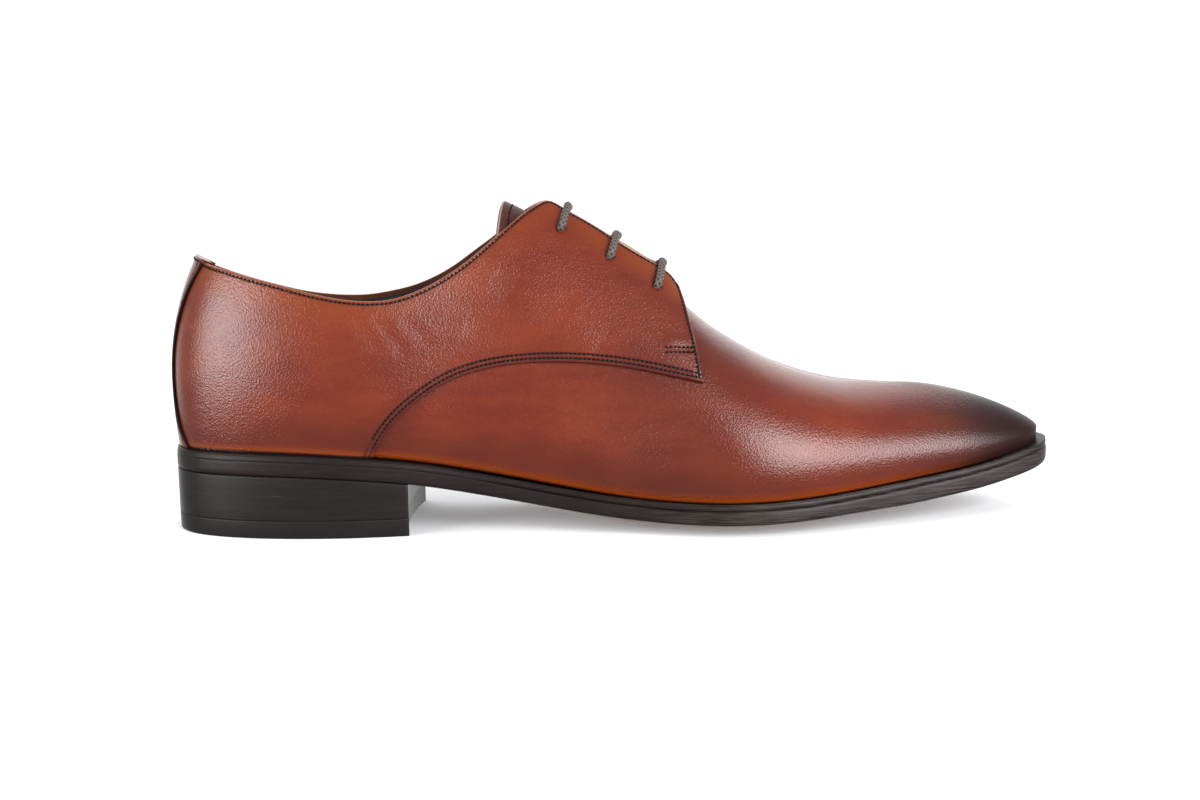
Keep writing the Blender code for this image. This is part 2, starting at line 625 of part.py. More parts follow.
route = [on_quarter(EYELET_PLACES[-1][0], -1, -QUARTER - depth) for depth in (2.2, 0.8)]
route += [*bar(0, -1), *run(0, 1, 1), *bar(1, 1), *run(1, -1, 1), *bar(2, -1)]
route += back_run(1)
route = np.array(route)
walk = np.concatenate([[0], np.cumsum(np.linalg.norm(np.diff(route, axis=0), axis=1))])
steps = np.unique(np.concatenate([walk, (walk[1:] + walk[:-1])[np.diff(walk) > 5.5] / 2]))
route = smooth(walk, route, bends(walk, route), steps)
curve = bpy.data.curves.new("lace", "CURVE")
curve.dimensions = "3D"
curve.bevel_depth = LACE_RADIUS * MM
curve.bevel_resolution = 2
curve.use_fill_caps = True
line = curve.splines.new("POLY")
line.points.add(len(route) - 1)
for point, place in zip(line.points, route):
    point.co = (*(place * MM), 1)
curve.materials.append(CORD)
link(bpy.data.objects.new("lace", curve))
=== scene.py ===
"""Derby shoe for the right foot, dressed: burnished calf, seams, lace, lined collar, waxed sole.

Sizes are in millimetres here and are scaled to metres in each mesh. +X points to the toe, -Y to
the outer side of the foot and +Z up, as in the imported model.
"""

import bmesh
import bpy
import numpy as np
from mathutils import Matrix, Vector


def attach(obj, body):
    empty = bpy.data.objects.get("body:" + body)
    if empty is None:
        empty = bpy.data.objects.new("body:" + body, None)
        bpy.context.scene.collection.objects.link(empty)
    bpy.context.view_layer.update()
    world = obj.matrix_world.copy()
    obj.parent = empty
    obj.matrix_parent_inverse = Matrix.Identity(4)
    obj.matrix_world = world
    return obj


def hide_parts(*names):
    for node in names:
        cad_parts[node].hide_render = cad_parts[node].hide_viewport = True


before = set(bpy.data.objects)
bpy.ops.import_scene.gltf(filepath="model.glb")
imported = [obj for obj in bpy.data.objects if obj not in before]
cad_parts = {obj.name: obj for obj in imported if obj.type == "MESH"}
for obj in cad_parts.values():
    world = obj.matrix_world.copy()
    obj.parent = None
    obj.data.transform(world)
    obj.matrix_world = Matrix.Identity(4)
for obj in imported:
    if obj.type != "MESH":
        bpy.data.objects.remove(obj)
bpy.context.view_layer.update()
MM = 0.001

# Sizes of the shoe
SOLE_THICK = 5.2
MIDSOLE_THICK = 2.0
GAP = 0.3
TOP_PIECE = 6.0
BREAST_X = 41.0
BREAST_SKEW = 3.0
BREAST_HOLLOW = 2.5
QUARTER = 1.6
LAP = 0.45
WALL = 1.3
TUCK = 0.2
LACE_RADIUS = 1.3
THROAT_X = 119.0


class Table:
    """A short table with named columns, read on smooth curves through its rows."""

    def __init__(self, columns, *rows):
        data = np.array(rows, float)
        self.column = {name: data[:, i] for i, name in enumerate(columns.split())}
        self.knots = data[:, 0]
        self.bends = {name: bends(self.knots, v[:, None]) for name, v in self.column.items()}

    def __call__(self, name, x):
        values = self.column[name][:, None]
        return smooth(self.knots, values, self.bends[name], x)[..., 0]


def bends(knots, values, closed=False):
    """Second slopes of the cubic spline through the values, with free ends or closed."""
    n = len(knots)
    h = np.diff(knots)
    slope = np.diff(values, axis=0) / h[:, None]
    a = np.zeros((n, n))
    b = np.zeros((n, values.shape[1]))
    for i in range(1, n - 1):
        a[i, i - 1:i + 2] = h[i - 1], 2 * (h[i - 1] + h[i]), h[i]
        b[i] = 6 * (slope[i] - slope[i - 1])
    a[0, 0] = 1
    a[-1, -1] = 1
    if closed:
        a[0, 0] = 2 * (h[-1] + h[0])
        a[0, 1] = h[0]
        a[0, n - 2] = h[-1]
        b[0] = 6 * (slope[0] - slope[-1])
        a[-1, 0] = -1
    return np.linalg.solve(a, b)


def smooth(t, y, m, at):
    """Value at a place of the cubic spline with second slopes m."""
    x = np.asarray(at, float)
    i = np.clip(np.searchsorted(t, x, side="right") - 1, 0, len(t) - 2)
    h = (t[i + 1] - t[i])[..., None]
    p = (t[i + 1] - x)[..., None]
    q = (x - t[i])[..., None]
    cubic = (m[i] * p ** 3 + m[i + 1] * q ** 3) / (6 * h)
    return cubic + (y[i] / h - m[i] * h / 6) * p + (y[i + 1] / h - m[i + 1] * h / 6) * q


# Outline of the sole seen from above: distance from the heel's axis at each x
OUTLINE = Table(
    "x lateral medial",
    (-39.6, 0, 0), (-37.5, 10, 10), (-32, 17.6, 17.6), (-23, 23.6, 23.6), (-10, 28.3, 28.3),
    (6, 31.1, 31.1), (24, 31.9, 31.5), (42, 30.6, 29.6), (60, 29.6, 26.6), (80, 31.2, 25.8),
    (100, 34.8, 30.0), (118, 39.4, 38.4), (134, 44.2, 46.4), (150, 47.4, 50.8), (166, 46.6, 50.8),
    (184, 42.0, 46.8), (204, 35.8, 40.0), (224, 29.6, 32.2), (240, 24.6, 25.8), (252, 20.0, 20.4),
    (260, 15.2, 15.2), (265, 9.0, 9.0), (267.4, 0, 0))

# Sole: height of its lower rim, how far its middle hangs below the rim, width of the welt
SOLE = Table(
    "x rim sag margin",
    (-40, 21.0, 0.0, 0.6), (-30, 21.0, 0.0, 1.5), (-10, 20.9, 0.0, 2.1), (10, 20.2, 0.0, 2.2),
    (26, 19.0, 0.0, 2.2), (42, 17.1, 0.0, 2.3), (60, 13.9, 0.6, 2.6), (80, 10.2, 1.8, 2.7),
    (100, 6.8, 3.6, 2.8), (120, 4.6, 5.0, 2.9), (140, 3.9, 5.4, 3.0), (160, 4.2, 5.4, 3.1),
    (180, 5.2, 4.8, 3.1), (200, 7.0, 4.0, 3.1), (220, 9.2, 3.0, 3.2), (240, 12.0, 1.1, 3.4),
    (250, 14.0, 0.3, 3.6), (258, 15.7, 0.0, 3.6), (268, 17.8, 0.0, 3.6))

# Crown of the last: height of its ridge seen from the side
CROWN = Table(
    "x z",
    (20, 134), (40, 126), (60, 117.5), (80, 108.5), (100, 98.6), (115, 90), (131, 78.8),
    (143, 68.2), (152, 62), (160.4, 56.9), (169, 52.6), (178, 49.2), (186, 47.0), (194, 45.8),
    (202, 45.2), (208, 44.9), (214, 44.8))

# Sections of the last, one a row, from the welt at x up to the ridge at crown_x, crown_y:
# height of the widest point, its reach past the welt line on each side, fullness of side and top
SECTIONS = Table(
    "x crown_x crown_y wide_z lateral medial side top",
    (-40, 27, 0.0, 22.6, 1.4, 1.4, 0.55, 0.55), (-10, 32, 0.0, 22.5, 2.2, 2.4, 0.55, 0.54),
    (24, 45, 0.3, 22.0, 2.8, 3.8, 0.52, 0.54), (60, 66, 1.2, 21.0, 3.3, 6.0, 0.44, 0.57),
    (80, 81, 2.0, 19.0, 3.3, 6.3, 0.39, 0.60), (100, 98, 3.0, 16.5, 3.1, 5.0, 0.37, 0.61),
    (118, 114, 3.5, 14.0, 2.8, 3.2, 0.38, 0.60), (134, 129, 3.5, 12.0, 2.4, 2.2, 0.42, 0.58),
    (150, 144, 3.2, 11.0, 2.1, 1.9, 0.47, 0.58), (166, 158, 3.0, 10.0, 2.0, 1.7, 0.50, 0.58),
    (184, 172, 2.2, 9.0, 1.8, 1.6, 0.50, 0.58), (204, 187, 1.4, 8.0, 1.6, 1.5, 0.48, 0.56),
    (224, 200, 0.6, 6.8, 1.5, 1.4, 0.43, 0.53), (240, 208, 0.2, 5.4, 1.3, 0.7, 0.35, 0.50),
    (252, 212, 0.0, 4.4, 0.9, 0.2, 0.24, 0.47), (260, 213.5, 0.0, 3.8, 0.4, -0.2, 0.17, 0.46),
    (268, 214, 0.0, 3.4, 0.0, 0.0, 0.15, 0.46))

# Layers over the last: the quarter's outer face, how far the facings rise over the crown,
# and the tongue's outer face
LAYERS = Table(
    "x quarter rise tongue",
    (-40, -1.25, 0.0, -1.5), (-10, -0.9, 0.0, -1.5), (30, 0.0, 0.0, -1.5),
    (50, 0.4, 0.0, -1.5), (60, 0.6, 0.6, -1.5), (70, 0.8, 3.0, -1.4), (80, 1.0, 6.4, -1.0),
    (90, 1.2, 8.8, -1.0), (98, 1.45, 9.6, -1.1), (106, 1.7, 9.8, -1.6), (113, 1.9, 9.8, -2.0),
    (122, 2.05, 9.8, -2.0), (134, 2.05, 9.4, -2.0), (150, 2.05, 9.0, -2.0))

# Top edge of each quarter from the heel over the collar to the front of the facing. The outer
# one stands a little higher at the heel, and the inner one dips further back.
TOPLINE = {
    -1: Table("x z", (-45, 95), (-33, 93.4), (-28, 91.8), (-23.4, 90.4), (-16, 88.4), (-9, 86.4),
              (-2.3, 84.7), (4.3, 82.9), (10.9, 81.2), (17.3, 79.8), (23.8, 78.8), (30.6, 78.4),
              (37.6, 79.0), (44.6, 81.1), (51.5, 84.2), (58.6, 88.5), (66.2, 94.2), (71.1, 98.3),
              (76.5, 102.8), (81.8, 106.9), (86, 109.3), (89, 110.4), (92, 109.7), (96.4, 106.9),
              (101.3, 104.1), (106.3, 101.1), (113.6, 96.1), (118.7, 92.9), (122.9, 90.4),
              (126.1, 88.5), (129.4, 86.3), (131.7, 84.4), (134, 81.4), (140, 76), (150, 70)),
    1: Table("x z", (-45, 95), (-33, 93.2), (-27.7, 89.9), (-19.1, 85.6), (-12.7, 83.2),
             (-6.1, 81.1), (0.6, 79.2), (7.5, 77.9), (14.7, 77.1), (26, 77.1), (33.8, 78.3),
             (41.6, 80.2), (49.5, 83.4), (57.4, 88), (65.9, 94.3), (70.5, 97.7), (76.5, 102.8),
             (82, 107.2), (86, 109.5), (89, 110.4), (92, 109.8), (96.4, 107.4), (101.3, 104.6),
             (106, 101.8), (111.7, 98.3), (117.5, 94.9), (123.3, 91.3), (126.3, 89.4),
             (131.9, 85.2), (134, 81.4), (140, 76), (150, 70))}

# Top edge of the lining, which drops under the facings as far as the throat of the vamp
DROP = ((56, 84.6), (61, 84.6), (67, 80.6), (75, 75.5), (84, 72.5), (94, 71.5), (104, 72.5),
        (113, 75), (125, 78))
THROAT = {side: Table("x z", *[(x, z - 1.0) for x, z in zip(line.knots, line.column["z"]) if x < 50],
                      *DROP) for side, line in TOPLINE.items()}

# Seam where the quarter ends over the vamp, then the front edge of the facing
SEAM = Table(
    "x z",
    (24, 12), (29.1, 25.4), (33.4, 33.4), (38.9, 40.1), (45.6, 45.7), (55.6, 51.8), (65.5, 55.2),
    (78.7, 57.3), (91.9, 57.7), (105.2, 57), (118.6, 55.2), (128.6, 53.2), (138.6, 51.2))
FACING_FRONT = Table("z x", (51.2, 138.6), (63, 137.4), (71, 136), (78.6, 134.7), (81.4, 134),
                     (100, 134))
EYELETS = Table("x z", (93.5, 101.0), (109.8, 91.4), (125.3, 81.5))

# The outline as one closed loop, heel, outer side, toe, inner side, and the share of each point
LATERAL = np.stack([OUTLINE.knots, -OUTLINE.column["lateral"]], 1)
MEDIAL = np.stack([OUTLINE.knots, OUTLINE.column["medial"]], 1)
LOOP = np.concatenate([LATERAL, MEDIAL[-2::-1]])
CHORD = np.concatenate([[0], np.cumsum(np.linalg.norm(np.diff(LOOP, axis=0), axis=1))])
MIDDLE = (OUTLINE.knots[0] + OUTLINE.knots[-1]) / 2
HALF = (OUTLINE.knots[-1] - OUTLINE.knots[0]) / 2
WALK = np.linspace(0, CHORD[-1], 4001)
WALK_PLAN = smooth(CHORD, LOOP, bends(CHORD, LOOP, closed=True), WALK)
WALK_SHARE = np.arccos(np.clip((MIDDLE - WALK_PLAN[:, 0]) / HALF, -1, 1)) / np.pi
TIP = int(np.argmax(WALK_SHARE))
WALK_SHARE[TIP] = 1
AHEAD = np.roll(WALK_PLAN[:-1], -1, axis=0) - np.roll(WALK_PLAN[:-1], 1, axis=0)
WALK_OUT = np.stack([AHEAD[:, 1], -AHEAD[:, 0]], 1) / np.linalg.norm(AHEAD, axis=1)[:, None]
WALK_OUT = np.concatenate([WALK_OUT, WALK_OUT[:1]])


def station(share):
    """x of a share of the length: middle - half * cos(pi * share)."""
    return MIDDLE - HALF * np.cos(np.pi * np.asarray(share, float))


def share_of(x):
    """Share of the length at x, the inverse of station."""
    return np.arccos(np.clip((MIDDLE - np.asarray(x, float)) / HALF, -1, 1)) / np.pi


def even_shares(count, first=0.0, last=1.0):
    """Shares at even steps along the outline between two shares."""
    walk = np.interp([first, last], WALK_SHARE[:TIP + 1], WALK[:TIP + 1])
    return np.interp(np.linspace(*walk, count), WALK[:TIP + 1], WALK_SHARE[:TIP + 1])


def outline(share, side, inset=0.0):
    """Point of the sole's outline and the direction out of it; side is -1 outer, 1 inner."""
    if side < 0:
        walk = np.interp(share, WALK_SHARE[:TIP + 1], WALK[:TIP + 1])
    else:
        walk = np.interp(share, WALK_SHARE[TIP:][::-1], WALK[TIP:][::-1])
    plan = [np.interp(walk, WALK, column) for column in (*WALK_PLAN.T, *WALK_OUT.T)]
    point, out = np.stack(plan[:2], -1), np.stack(plan[2:], -1)
    ends = (np.asarray(share) <= 0) | (np.asarray(share) >= 1)
    out[..., 1] = np.where(ends, 0, out[..., 1])
    point[..., 1] = np.where(ends, 0, point[..., 1])
    return point - out * np.asarray(inset)[..., None], out


def foot_height(x):
    """Height of the welt's top, where the upper starts."""
    return SOLE("rim", x) + SOLE_THICK + MIDSOLE_THICK + GAP


def last(share, v, side, rise=0.0):
    """Surface of the last: v is 0 at the welt, TUCK at the widest point and 1 on the ridge.

    Below TUCK the side swells out on a parabola. Above it each section is a cubic Bezier curve
    from the widest point to the ridge, whose two inner handles are the fullness of side and top.
    """
    share, v = np.broadcast_arrays(np.asarray(share, float), np.asarray(v, float))
    x = station(share)
    foot, out = outline(share, side, SOLE("margin", x))
    foot_z = foot_height(x)
    reach = SECTIONS("lateral" if side < 0 else "medial", x)
    wide_z = SECTIONS("wide_z", x)
    crown = np.stack([SECTIONS("crown_x", x), SECTIONS("crown_y", x)], -1)
    crown_z = CROWN("z", crown[..., 0])
    t = np.minimum(v / TUCK, 1)
    low = foot + out * (reach * t * (2 - t))[..., None]
    low_z = foot_z + wide_z * t
    b = np.clip((v - TUCK) / (1 - TUCK), 0, 1)
    c0, c1, c2, c3 = (1 - b) ** 3, 3 * b * (1 - b) ** 2, 3 * b * b * (1 - b), b ** 3
    wide = foot + out * reach[..., None]
    toward_side = c0 + c1 + c2 * SECTIONS("top", x)
    toward_top = c1 * SECTIONS("side", x) + c2 + c3
    high = crown + (wide - crown) * toward_side[..., None]
    high_z = foot_z + wide_z + (crown_z - foot_z - wide_z) * toward_top + rise * toward_top ** 4
    plan = np.where((v < TUCK)[..., None], low, high)
    return np.concatenate([plan, np.where(v < TUCK, low_z, high_z)[..., None]], -1)


def skin(share, v, side, offset=0.0, rise=0.0):
    """Point at an offset along the normal out of the last's surface."""
    share, v, rise = np.broadcast_arrays(np.asarray(share, float), np.asarray(v, float), rise)
    step = 0.002
    w = np.minimum(v, 0.985)
    s0, s1 = np.maximum(share - step, 0), np.minimum(share + step, 1)
    along = last(s1, w, side, rise) - last(s0, w, side, rise)
    up = last(share, w + step, side, rise) - last(share, w - step, side, rise)
    out = np.cross(along, up) * -side
    middle = (share <= 0) | (share >= 1) | (v >= 1)
    out[..., 1] = np.where(middle, 0, out[..., 1])
    out /= np.linalg.norm(out, axis=-1, keepdims=True)
    return last(share, v, side, rise) + out * np.broadcast_to(offset, share.shape)[..., None]


def rise_at(share):
    """How far the facings stand over the crown at a share of the length."""
    return LAYERS("rise", np.minimum(station(share), 150))


def quarter_face(share):
    """Offset of the quarter's outer face at a share of the length."""
    return LAYERS("quarter", np.minimum(station(share), 134))


def on_quarter(place, side, offset=0.0):
    """Point over or under the quarter's outer face at a share and v."""
    share, v = place
    return skin(share, v, side, quarter_face(share) + offset, rise_at(share))


def edge_share(share, side, edge, offset, rise, low=0.05):
    """v at which each section crosses an edge drawn in side view, by halving; 1 if it doesn't."""
    low = np.full(share.shape, low)
    high = np.ones(share.shape)
    for _ in range(30):
        v = (low + high) / 2
        p = skin(share, v, side, offset, rise)
        over = p[..., 2] > edge("z", np.clip(p[..., 0], edge.knots[0], edge.knots[-1]))
        high = np.where(over, v, high)
        low = np.where(over, low, v)
    return np.where(high > 0.995, 1.0, high)


def locate(x, z, side):
    """Share and v of the quarter's point that side view shows at x, z, by Newton steps."""
    place = np.array([share_of(x), 0.8])
    for _ in range(12):
        here, by_share, by_v = (on_quarter(place + step, side)[[0, 2]] for step in
                                ((0, 0), (0.0001, 0), (0, 0.0001)))
        slopes = np.stack([by_share - here, by_v - here], 1) / 0.0001
        place = place + np.linalg.solve(slopes, np.array([x, z]) - here)
    return place


def ease(t):
    """Smooth step from 0 to 1: 3t^2 - 2t^3 of t held between 0 and 1."""
    t = np.clip(t, 0, 1)
    return t * t * (3 - 2 * t)


def bump(d, width):
    """Bell of height 1 at distance 0: exp(-(d / width)^2)."""
    return np.exp(-(np.asarray(d) / width) ** 2)


def rounding(d, radius):
    """Drop of a rounded edge at distance d: radius minus the height of a quarter circle."""
    t = 1 - np.clip(d / radius, 0, 1)
    return radius * (1 - np.sqrt(1 - t * t * 0.98))


def distance(points, line):
    """Shortest distance from each point of a grid to a chain of straight links."""
    flat = points.reshape(-1, 3)
    start, link = line[:-1], np.diff(line, axis=0)
    square = np.maximum((link ** 2).sum(1), 1e-12)
    parts = []
    for block in np.array_split(flat, len(flat) // 3000 + 1):
        away = block[:, None] - start
        t = np.clip((away * link).sum(2) / square, 0, 1)
        parts.append(np.sqrt(((away - t[..., None] * link) ** 2).sum(2).min(1)))
    return np.concatenate(parts).reshape(points.shape[:-1])


# Meshes
def quads(rows, columns):
    """Corner numbers of the faces of a grid."""
    i = np.arange(rows * columns).reshape(rows, columns)
    return np.stack([i[:-1, :-1], i[1:, :-1], i[1:, 1:], i[:-1, 1:]], -1).reshape(-1, 4)


def piece(name, points, faces, materials, places=None, marks=None, turn=True):
    """Object from points in millimetres and faces, riding on the shoe.

    places gives each face's material and marks named values at the points.
    """
    mesh = bpy.data.meshes.new(name)
    mesh.from_pydata((np.asarray(points) * MM).tolist(), [], [list(f) for f in faces])
    for key, values in (marks or {}).items():
        mesh.attributes.new(key, "FLOAT", "POINT").data.foreach_set("value", np.float32(values))
    if places is not None:
        mesh.polygons.foreach_set("material_index", np.int32(places))
    bm = bmesh.new()
    bm.from_mesh(mesh)
    loose = [v for v in bm.verts if not v.link_faces]
    bmesh.ops.delete(bm, geom=loose, context="VERTS")
    if turn:
        bmesh.ops.recalc_face_normals(bm, faces=bm.faces)
        if bm.calc_volume(signed=True) < 0:
            bmesh.ops.reverse_faces(bm, faces=bm.faces)
    bm.to_mesh(mesh)
    bm.free()
    mesh.shade_smooth()
    for material in materials:
        mesh.materials.append(material)
    item = bpy.data.objects.new(name, mesh)
    bpy.context.scene.collection.objects.link(item)
    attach(item, "root")
    return item


def slab(name, outer, inner, materials, keep=None, marks=None, turn=True):
    """Closed piece between matching outer and inner grids, with a rim along every free edge.

    Points that fall together are welded. Outer faces take the first material, inner faces the
    second and the rim the third.
    """
    rings = []
    first = 0
    for number, grid in enumerate(outer):
        ring = quads(*grid.shape[:2]) + first
        rings.append(ring[keep[number].ravel()] if keep else ring)
        first += grid.shape[0] * grid.shape[1]
    points = np.concatenate([grid.reshape(-1, 3) for grid in outer])
    under = np.concatenate([grid.reshape(-1, 3) for grid in inner])
    _, one, weld = np.unique(np.round(points, 2), axis=0, return_index=True, return_inverse=True)
    rings = one[weld.ravel()][np.concatenate(rings)]
    count = len(points)
    edges = np.stack([rings, np.roll(rings, -1, axis=1)], -1).reshape(-1, 2)
    edges = edges[edges[:, 0] != edges[:, 1]]
    pair = np.sort(edges, axis=1)
    _, back, times = np.unique(pair[:, 0] * count + pair[:, 1], return_inverse=True,
                               return_counts=True)
    rim = edges[times[back.ravel()] == 1]
    rim = np.stack([rim[:, 1], rim[:, 0], rim[:, 0] + count, rim[:, 1] + count], 1)
    faces, places = [], []
    for number, block in enumerate((rings, rings[:, ::-1] + count, rim)):
        for ring in block.tolist():
            ring = [c for c, after in zip(ring, ring[1:] + ring[:1]) if c != after]
            if len(set(ring)) > 2:
                faces.append(ring)
                places.append(min(number, len(materials) - 1))
    values = {key: np.concatenate([np.concatenate([g.ravel() for g in part]) for part in both])
              for key, both in (marks or {}).items()}
    return piece(name, np.concatenate([points, under]), faces, materials, places, values, turn)


def both_sides(make, rows, shares):
    """One grid over both sides of the shoe, from the outer welt over the ridge to the inner welt.

    make(share, v, side) gives the points. The ridge and the ends are the mean of both sides.
    """
    outer, inner = (make(shares[None, :], rows, side) for side in (-1, 1))
    ridge = (outer[-1] + inner[-1]) / 2
    grid = np.concatenate([outer[:-1], ridge[None], inner[-2::-1]])
    for end, share in ((0, shares[0]), (-1, shares[-1])):
        if share <= 0 or share >= 1:
            grid[:, end] = (grid[:, end] + grid[::-1, end]) / 2
            grid[:, end, 1] = 0
    return grid


# Shaders
class Signal:
    """A socket of a shader node, with the signs of arithmetic."""

    def __init__(self, look, socket):
        self.look = look
        self.socket = socket

    def math(self, operation, *others, clamp=False):
        """Result of a Math node on this socket and others."""
        values = dict(enumerate((self, *others)))
        return self.look.node("Math", values, operation=operation, use_clamp=clamp)

    def __add__(self, other):
        return self.math("ADD", other)

    __radd__ = __add__

    def __sub__(self, other):
        return self.math("SUBTRACT", other)

    def __rsub__(self, other):
        return self.look.node("Math", {0: other, 1: self}, operation="SUBTRACT")

    def __mul__(self, other):
        return self.math("MULTIPLY", other)

    __rmul__ = __mul__

    def __truediv__(self, other):
        return self.math("DIVIDE", other)

    def ramp(self, low, high):
        """0 up to low, 1 from high, and a soft step between."""
        values = {0: self, 1: low, 2: high}
        return self.look.node("MapRange", values, interpolation_type="SMOOTHSTEP")

    def bell(self, middle, width):
        """1 at the middle and 0 a width away on either side."""
        return 1 - ((self - middle).math("ABSOLUTE") / width).ramp(0.0, 1.0)


class Look:
    """A material of the shoe and the one method that adds a node to it."""

    def __init__(self, name, roughness=0.5, specular=0.5, coat=0.0, coat_roughness=0.2):
        self.material = bpy.data.materials.new(name)
        self.material.use_nodes = True
        self.tree = self.material.node_tree
        self.shader = self.tree.nodes["Principled BSDF"]
        self.shader.inputs["Roughness"].default_value = roughness
        self.shader.inputs["Specular IOR Level"].default_value = specular
        self.shader.inputs["Coat Weight"].default_value = coat
        self.shader.inputs["Coat Roughness"].default_value = coat_roughness
        place = self.node("TexCoord", out="Object")
        self.place = self.node("VectorMath", {0: place, "Scale": 1 / MM}, operation="SCALE")
        self.x, self.y, self.z = (self.node("SeparateXYZ", {0: self.place}, out=axis)
                                  for axis in "XYZ")

    def node(self, kind, values=(), out=0, stops=(), **settings):
        """Output of a new node; its settings come first, then the values or links it takes."""
        node = self.tree.nodes.new("ShaderNode" + kind)
        for key, value in settings.items():
            setattr(node, key, value)
        for number, (at, colour) in enumerate(stops):
            steps = node.color_ramp.elements
            step = steps[number] if number < 2 else steps.new(at)
            step.position, step.color = at, (*colour, 1)
        for key, value in dict(values).items():
            if isinstance(value, Signal):
                self.tree.links.new(value.socket, node.inputs[key])
            else:
                node.inputs[key].default_value = value
        return Signal(self, node.outputs[out])

    def noise(self, scale, detail=2.0, stretch=(1, 1, 1), rough=0.5):
        """Even noise of a scale per millimetre, about 0.5, on a stretched place."""
        place = self.node("VectorMath", {0: self.place, 1: stretch}, operation="MULTIPLY")
        return self.node("TexNoise", {"Vector": place, "Scale": scale, "Detail": detail,
                                      "Roughness": rough})

    def mark(self, name):
        """A value kept at the points of the mesh."""
        return self.node("Attribute", out="Fac", attribute_name=name)

    def mix(self, factor, one, two):
        """Colour between two colours."""
        return self.node("Mix", {0: factor, 6: self.colour(one), 7: self.colour(two)}, out=2,
                         data_type="RGBA")

    @staticmethod
    def colour(value):
        """A colour with its alpha, or the link that gives it."""
        return value if isinstance(value, Signal) else (*value[:3], 1.0)

    def set(self, name, value):
        """Give a socket of the shader a value or a link."""
        if isinstance(value, Signal):
            self.tree.links.new(value.socket, self.shader.inputs[name])
        else:
            self.shader.inputs[name].default_value = value

    def bump(self, height, depth, strength=1.0):
        """Relief from a height between 0 and 1, as deep as depth in millimetres."""
        self.set("Normal", self.node("Bump", {"Height": height, "Strength": strength,
                                              "Distance": depth * MM}))


RED_TAN = (0.114, 0.0122, 0.0040)
TAN = (0.160, 0.0212, 0.0052)
# Painted glow: the bright orange of the band above the welt and of the painted highlight along the
# topline
PAINTED_GLOW = (0.205, 0.0370, 0.0045)
# Painted shade: the dark brown mixed in over the instep, near the panel edges and low on the sides
PAINTED_SHADE = (0.062, 0.0090, 0.0048)
BURNT = (0.015, 0.0048, 0.0048)


def calf(name, base=RED_TAN, light=TAN, dark=PAINTED_SHADE, vamp=False, specular=0.46):
    """Burnished calf: patina in clouds and hand strokes, fine grain, darker where it is waxed, with
    painted shade over the instep, near the edges and low on the sides, and a painted glow above the welt
    and along the topline.
    """
    look = Look(name, roughness=0.3, specular=specular)
    clouds = look.noise(0.035, 4.0, (1, 1, 1.4))
    strokes = look.noise(0.12, 3.0, (0.35, 1, 1.6))
    flecks = look.noise(0.9, 3.0)
    tone = (clouds * 0.55 + strokes * 0.33 + flecks * 0.12).ramp(0.38, 0.64)
    colour = look.mix(tone, base, light)
    # Painted shade: darker round the instep and the facings, about x = 132
    colour = look.mix(look.x.bell(132.0, 44.0) * 0.42, colour, dark)
    # Painted shade: darker near the panel edges, on the vamp under the quarter's lap and along the
    # quarter's seams and edges
    edge = look.mark("edge")
    colour = look.mix((1 - edge.ramp(0.0, 4.5)) * 0.5 + strokes * 0.12 - 0.06, colour, dark)
    up = look.mark("feather")
    if vamp:
        # Painted glow: a bright orange band just above the welt
        colour = look.mix((1 - up.ramp(0.8, 4.6)) * 0.85, colour, PAINTED_GLOW)
        toe = (look.x + clouds * 16 - strokes * 8).ramp(196.0, 258.0)
        colour = look.mix(toe * 0.97, colour, BURNT)
        # Painted shade: darker over the throat and the top of the vamp
        throat = look.x.bell(128.0, 46.0) * look.z.ramp(36.0, 62.0)
        colour = look.mix(throat * 0.45, colour, dark)
    else:
        top = look.mark("top")
        # Painted glow: a lighter band along the topline, weaker round the collar's dip
        painted_glow = top.bell(3.0, 9.0) * (1 - look.x.bell(60.0, 60.0) * 0.6)
        colour = look.mix(painted_glow * 0.6, colour, PAINTED_GLOW)
        # Painted glow: a bright orange band just above the welt
        colour = look.mix((1 - up.ramp(0.8, 3.2)) * 0.85, colour, PAINTED_GLOW)
        # Painted highlight: a light line along the very top of the topline
        colour = look.mix(1 - top.ramp(0.5, 0.9), colour, PAINTED_GLOW)
        threads = edge.bell(1.2, 0.75) + look.mark("seam").bell(2.85, 0.75)
        colour = look.mix(threads * 0.7, colour, BURNT)
    # Painted shade: darker low on the sides, from just above the welt up to about 20 mm
    colour = look.mix((1 - up.ramp(4.0, 20.0)) * up.ramp(1.0, 5.0) * 0.45, colour, dark)
    # Painted shadow: a black line in the crease where the upper meets the welt
    colour = look.mix(1 - up.ramp(0.2, 0.9), colour, BURNT)
    look.set("Base Color", colour)
    look.set("Roughness", 0.15 + flecks * 0.1 + strokes * 0.06)
    cells = look.node("TexVoronoi", {"Vector": look.place, "Scale": 1.65, "Randomness": 1.0},
                      feature="SMOOTH_F1")
    pores = look.noise(2.6, 3.0)
    look.bump(cells * 0.75 + pores * 0.6 + flecks * 0.12, 0.145, 0.9)
    if vamp:
        wax = look.tree.nodes.new("ShaderNodeBsdfPrincipled")
        wax.inputs["Base Color"].default_value = (0.013, 0.0045, 0.0045, 1.0)
        wax.inputs["Roughness"].default_value = 0.5
        wax.inputs["Specular IOR Level"].default_value = 0.12
        tip = (look.x + clouds * 10).ramp(230.0, 258.0) * 0.85
        both = look.node("MixShader", {0: tip, 1: Signal(look, look.shader.outputs[0]),
                                       2: Signal(look, wax.outputs[0])})
        look.tree.links.new(both.socket, look.tree.nodes["Material Output"].inputs["Surface"])
    return look.material


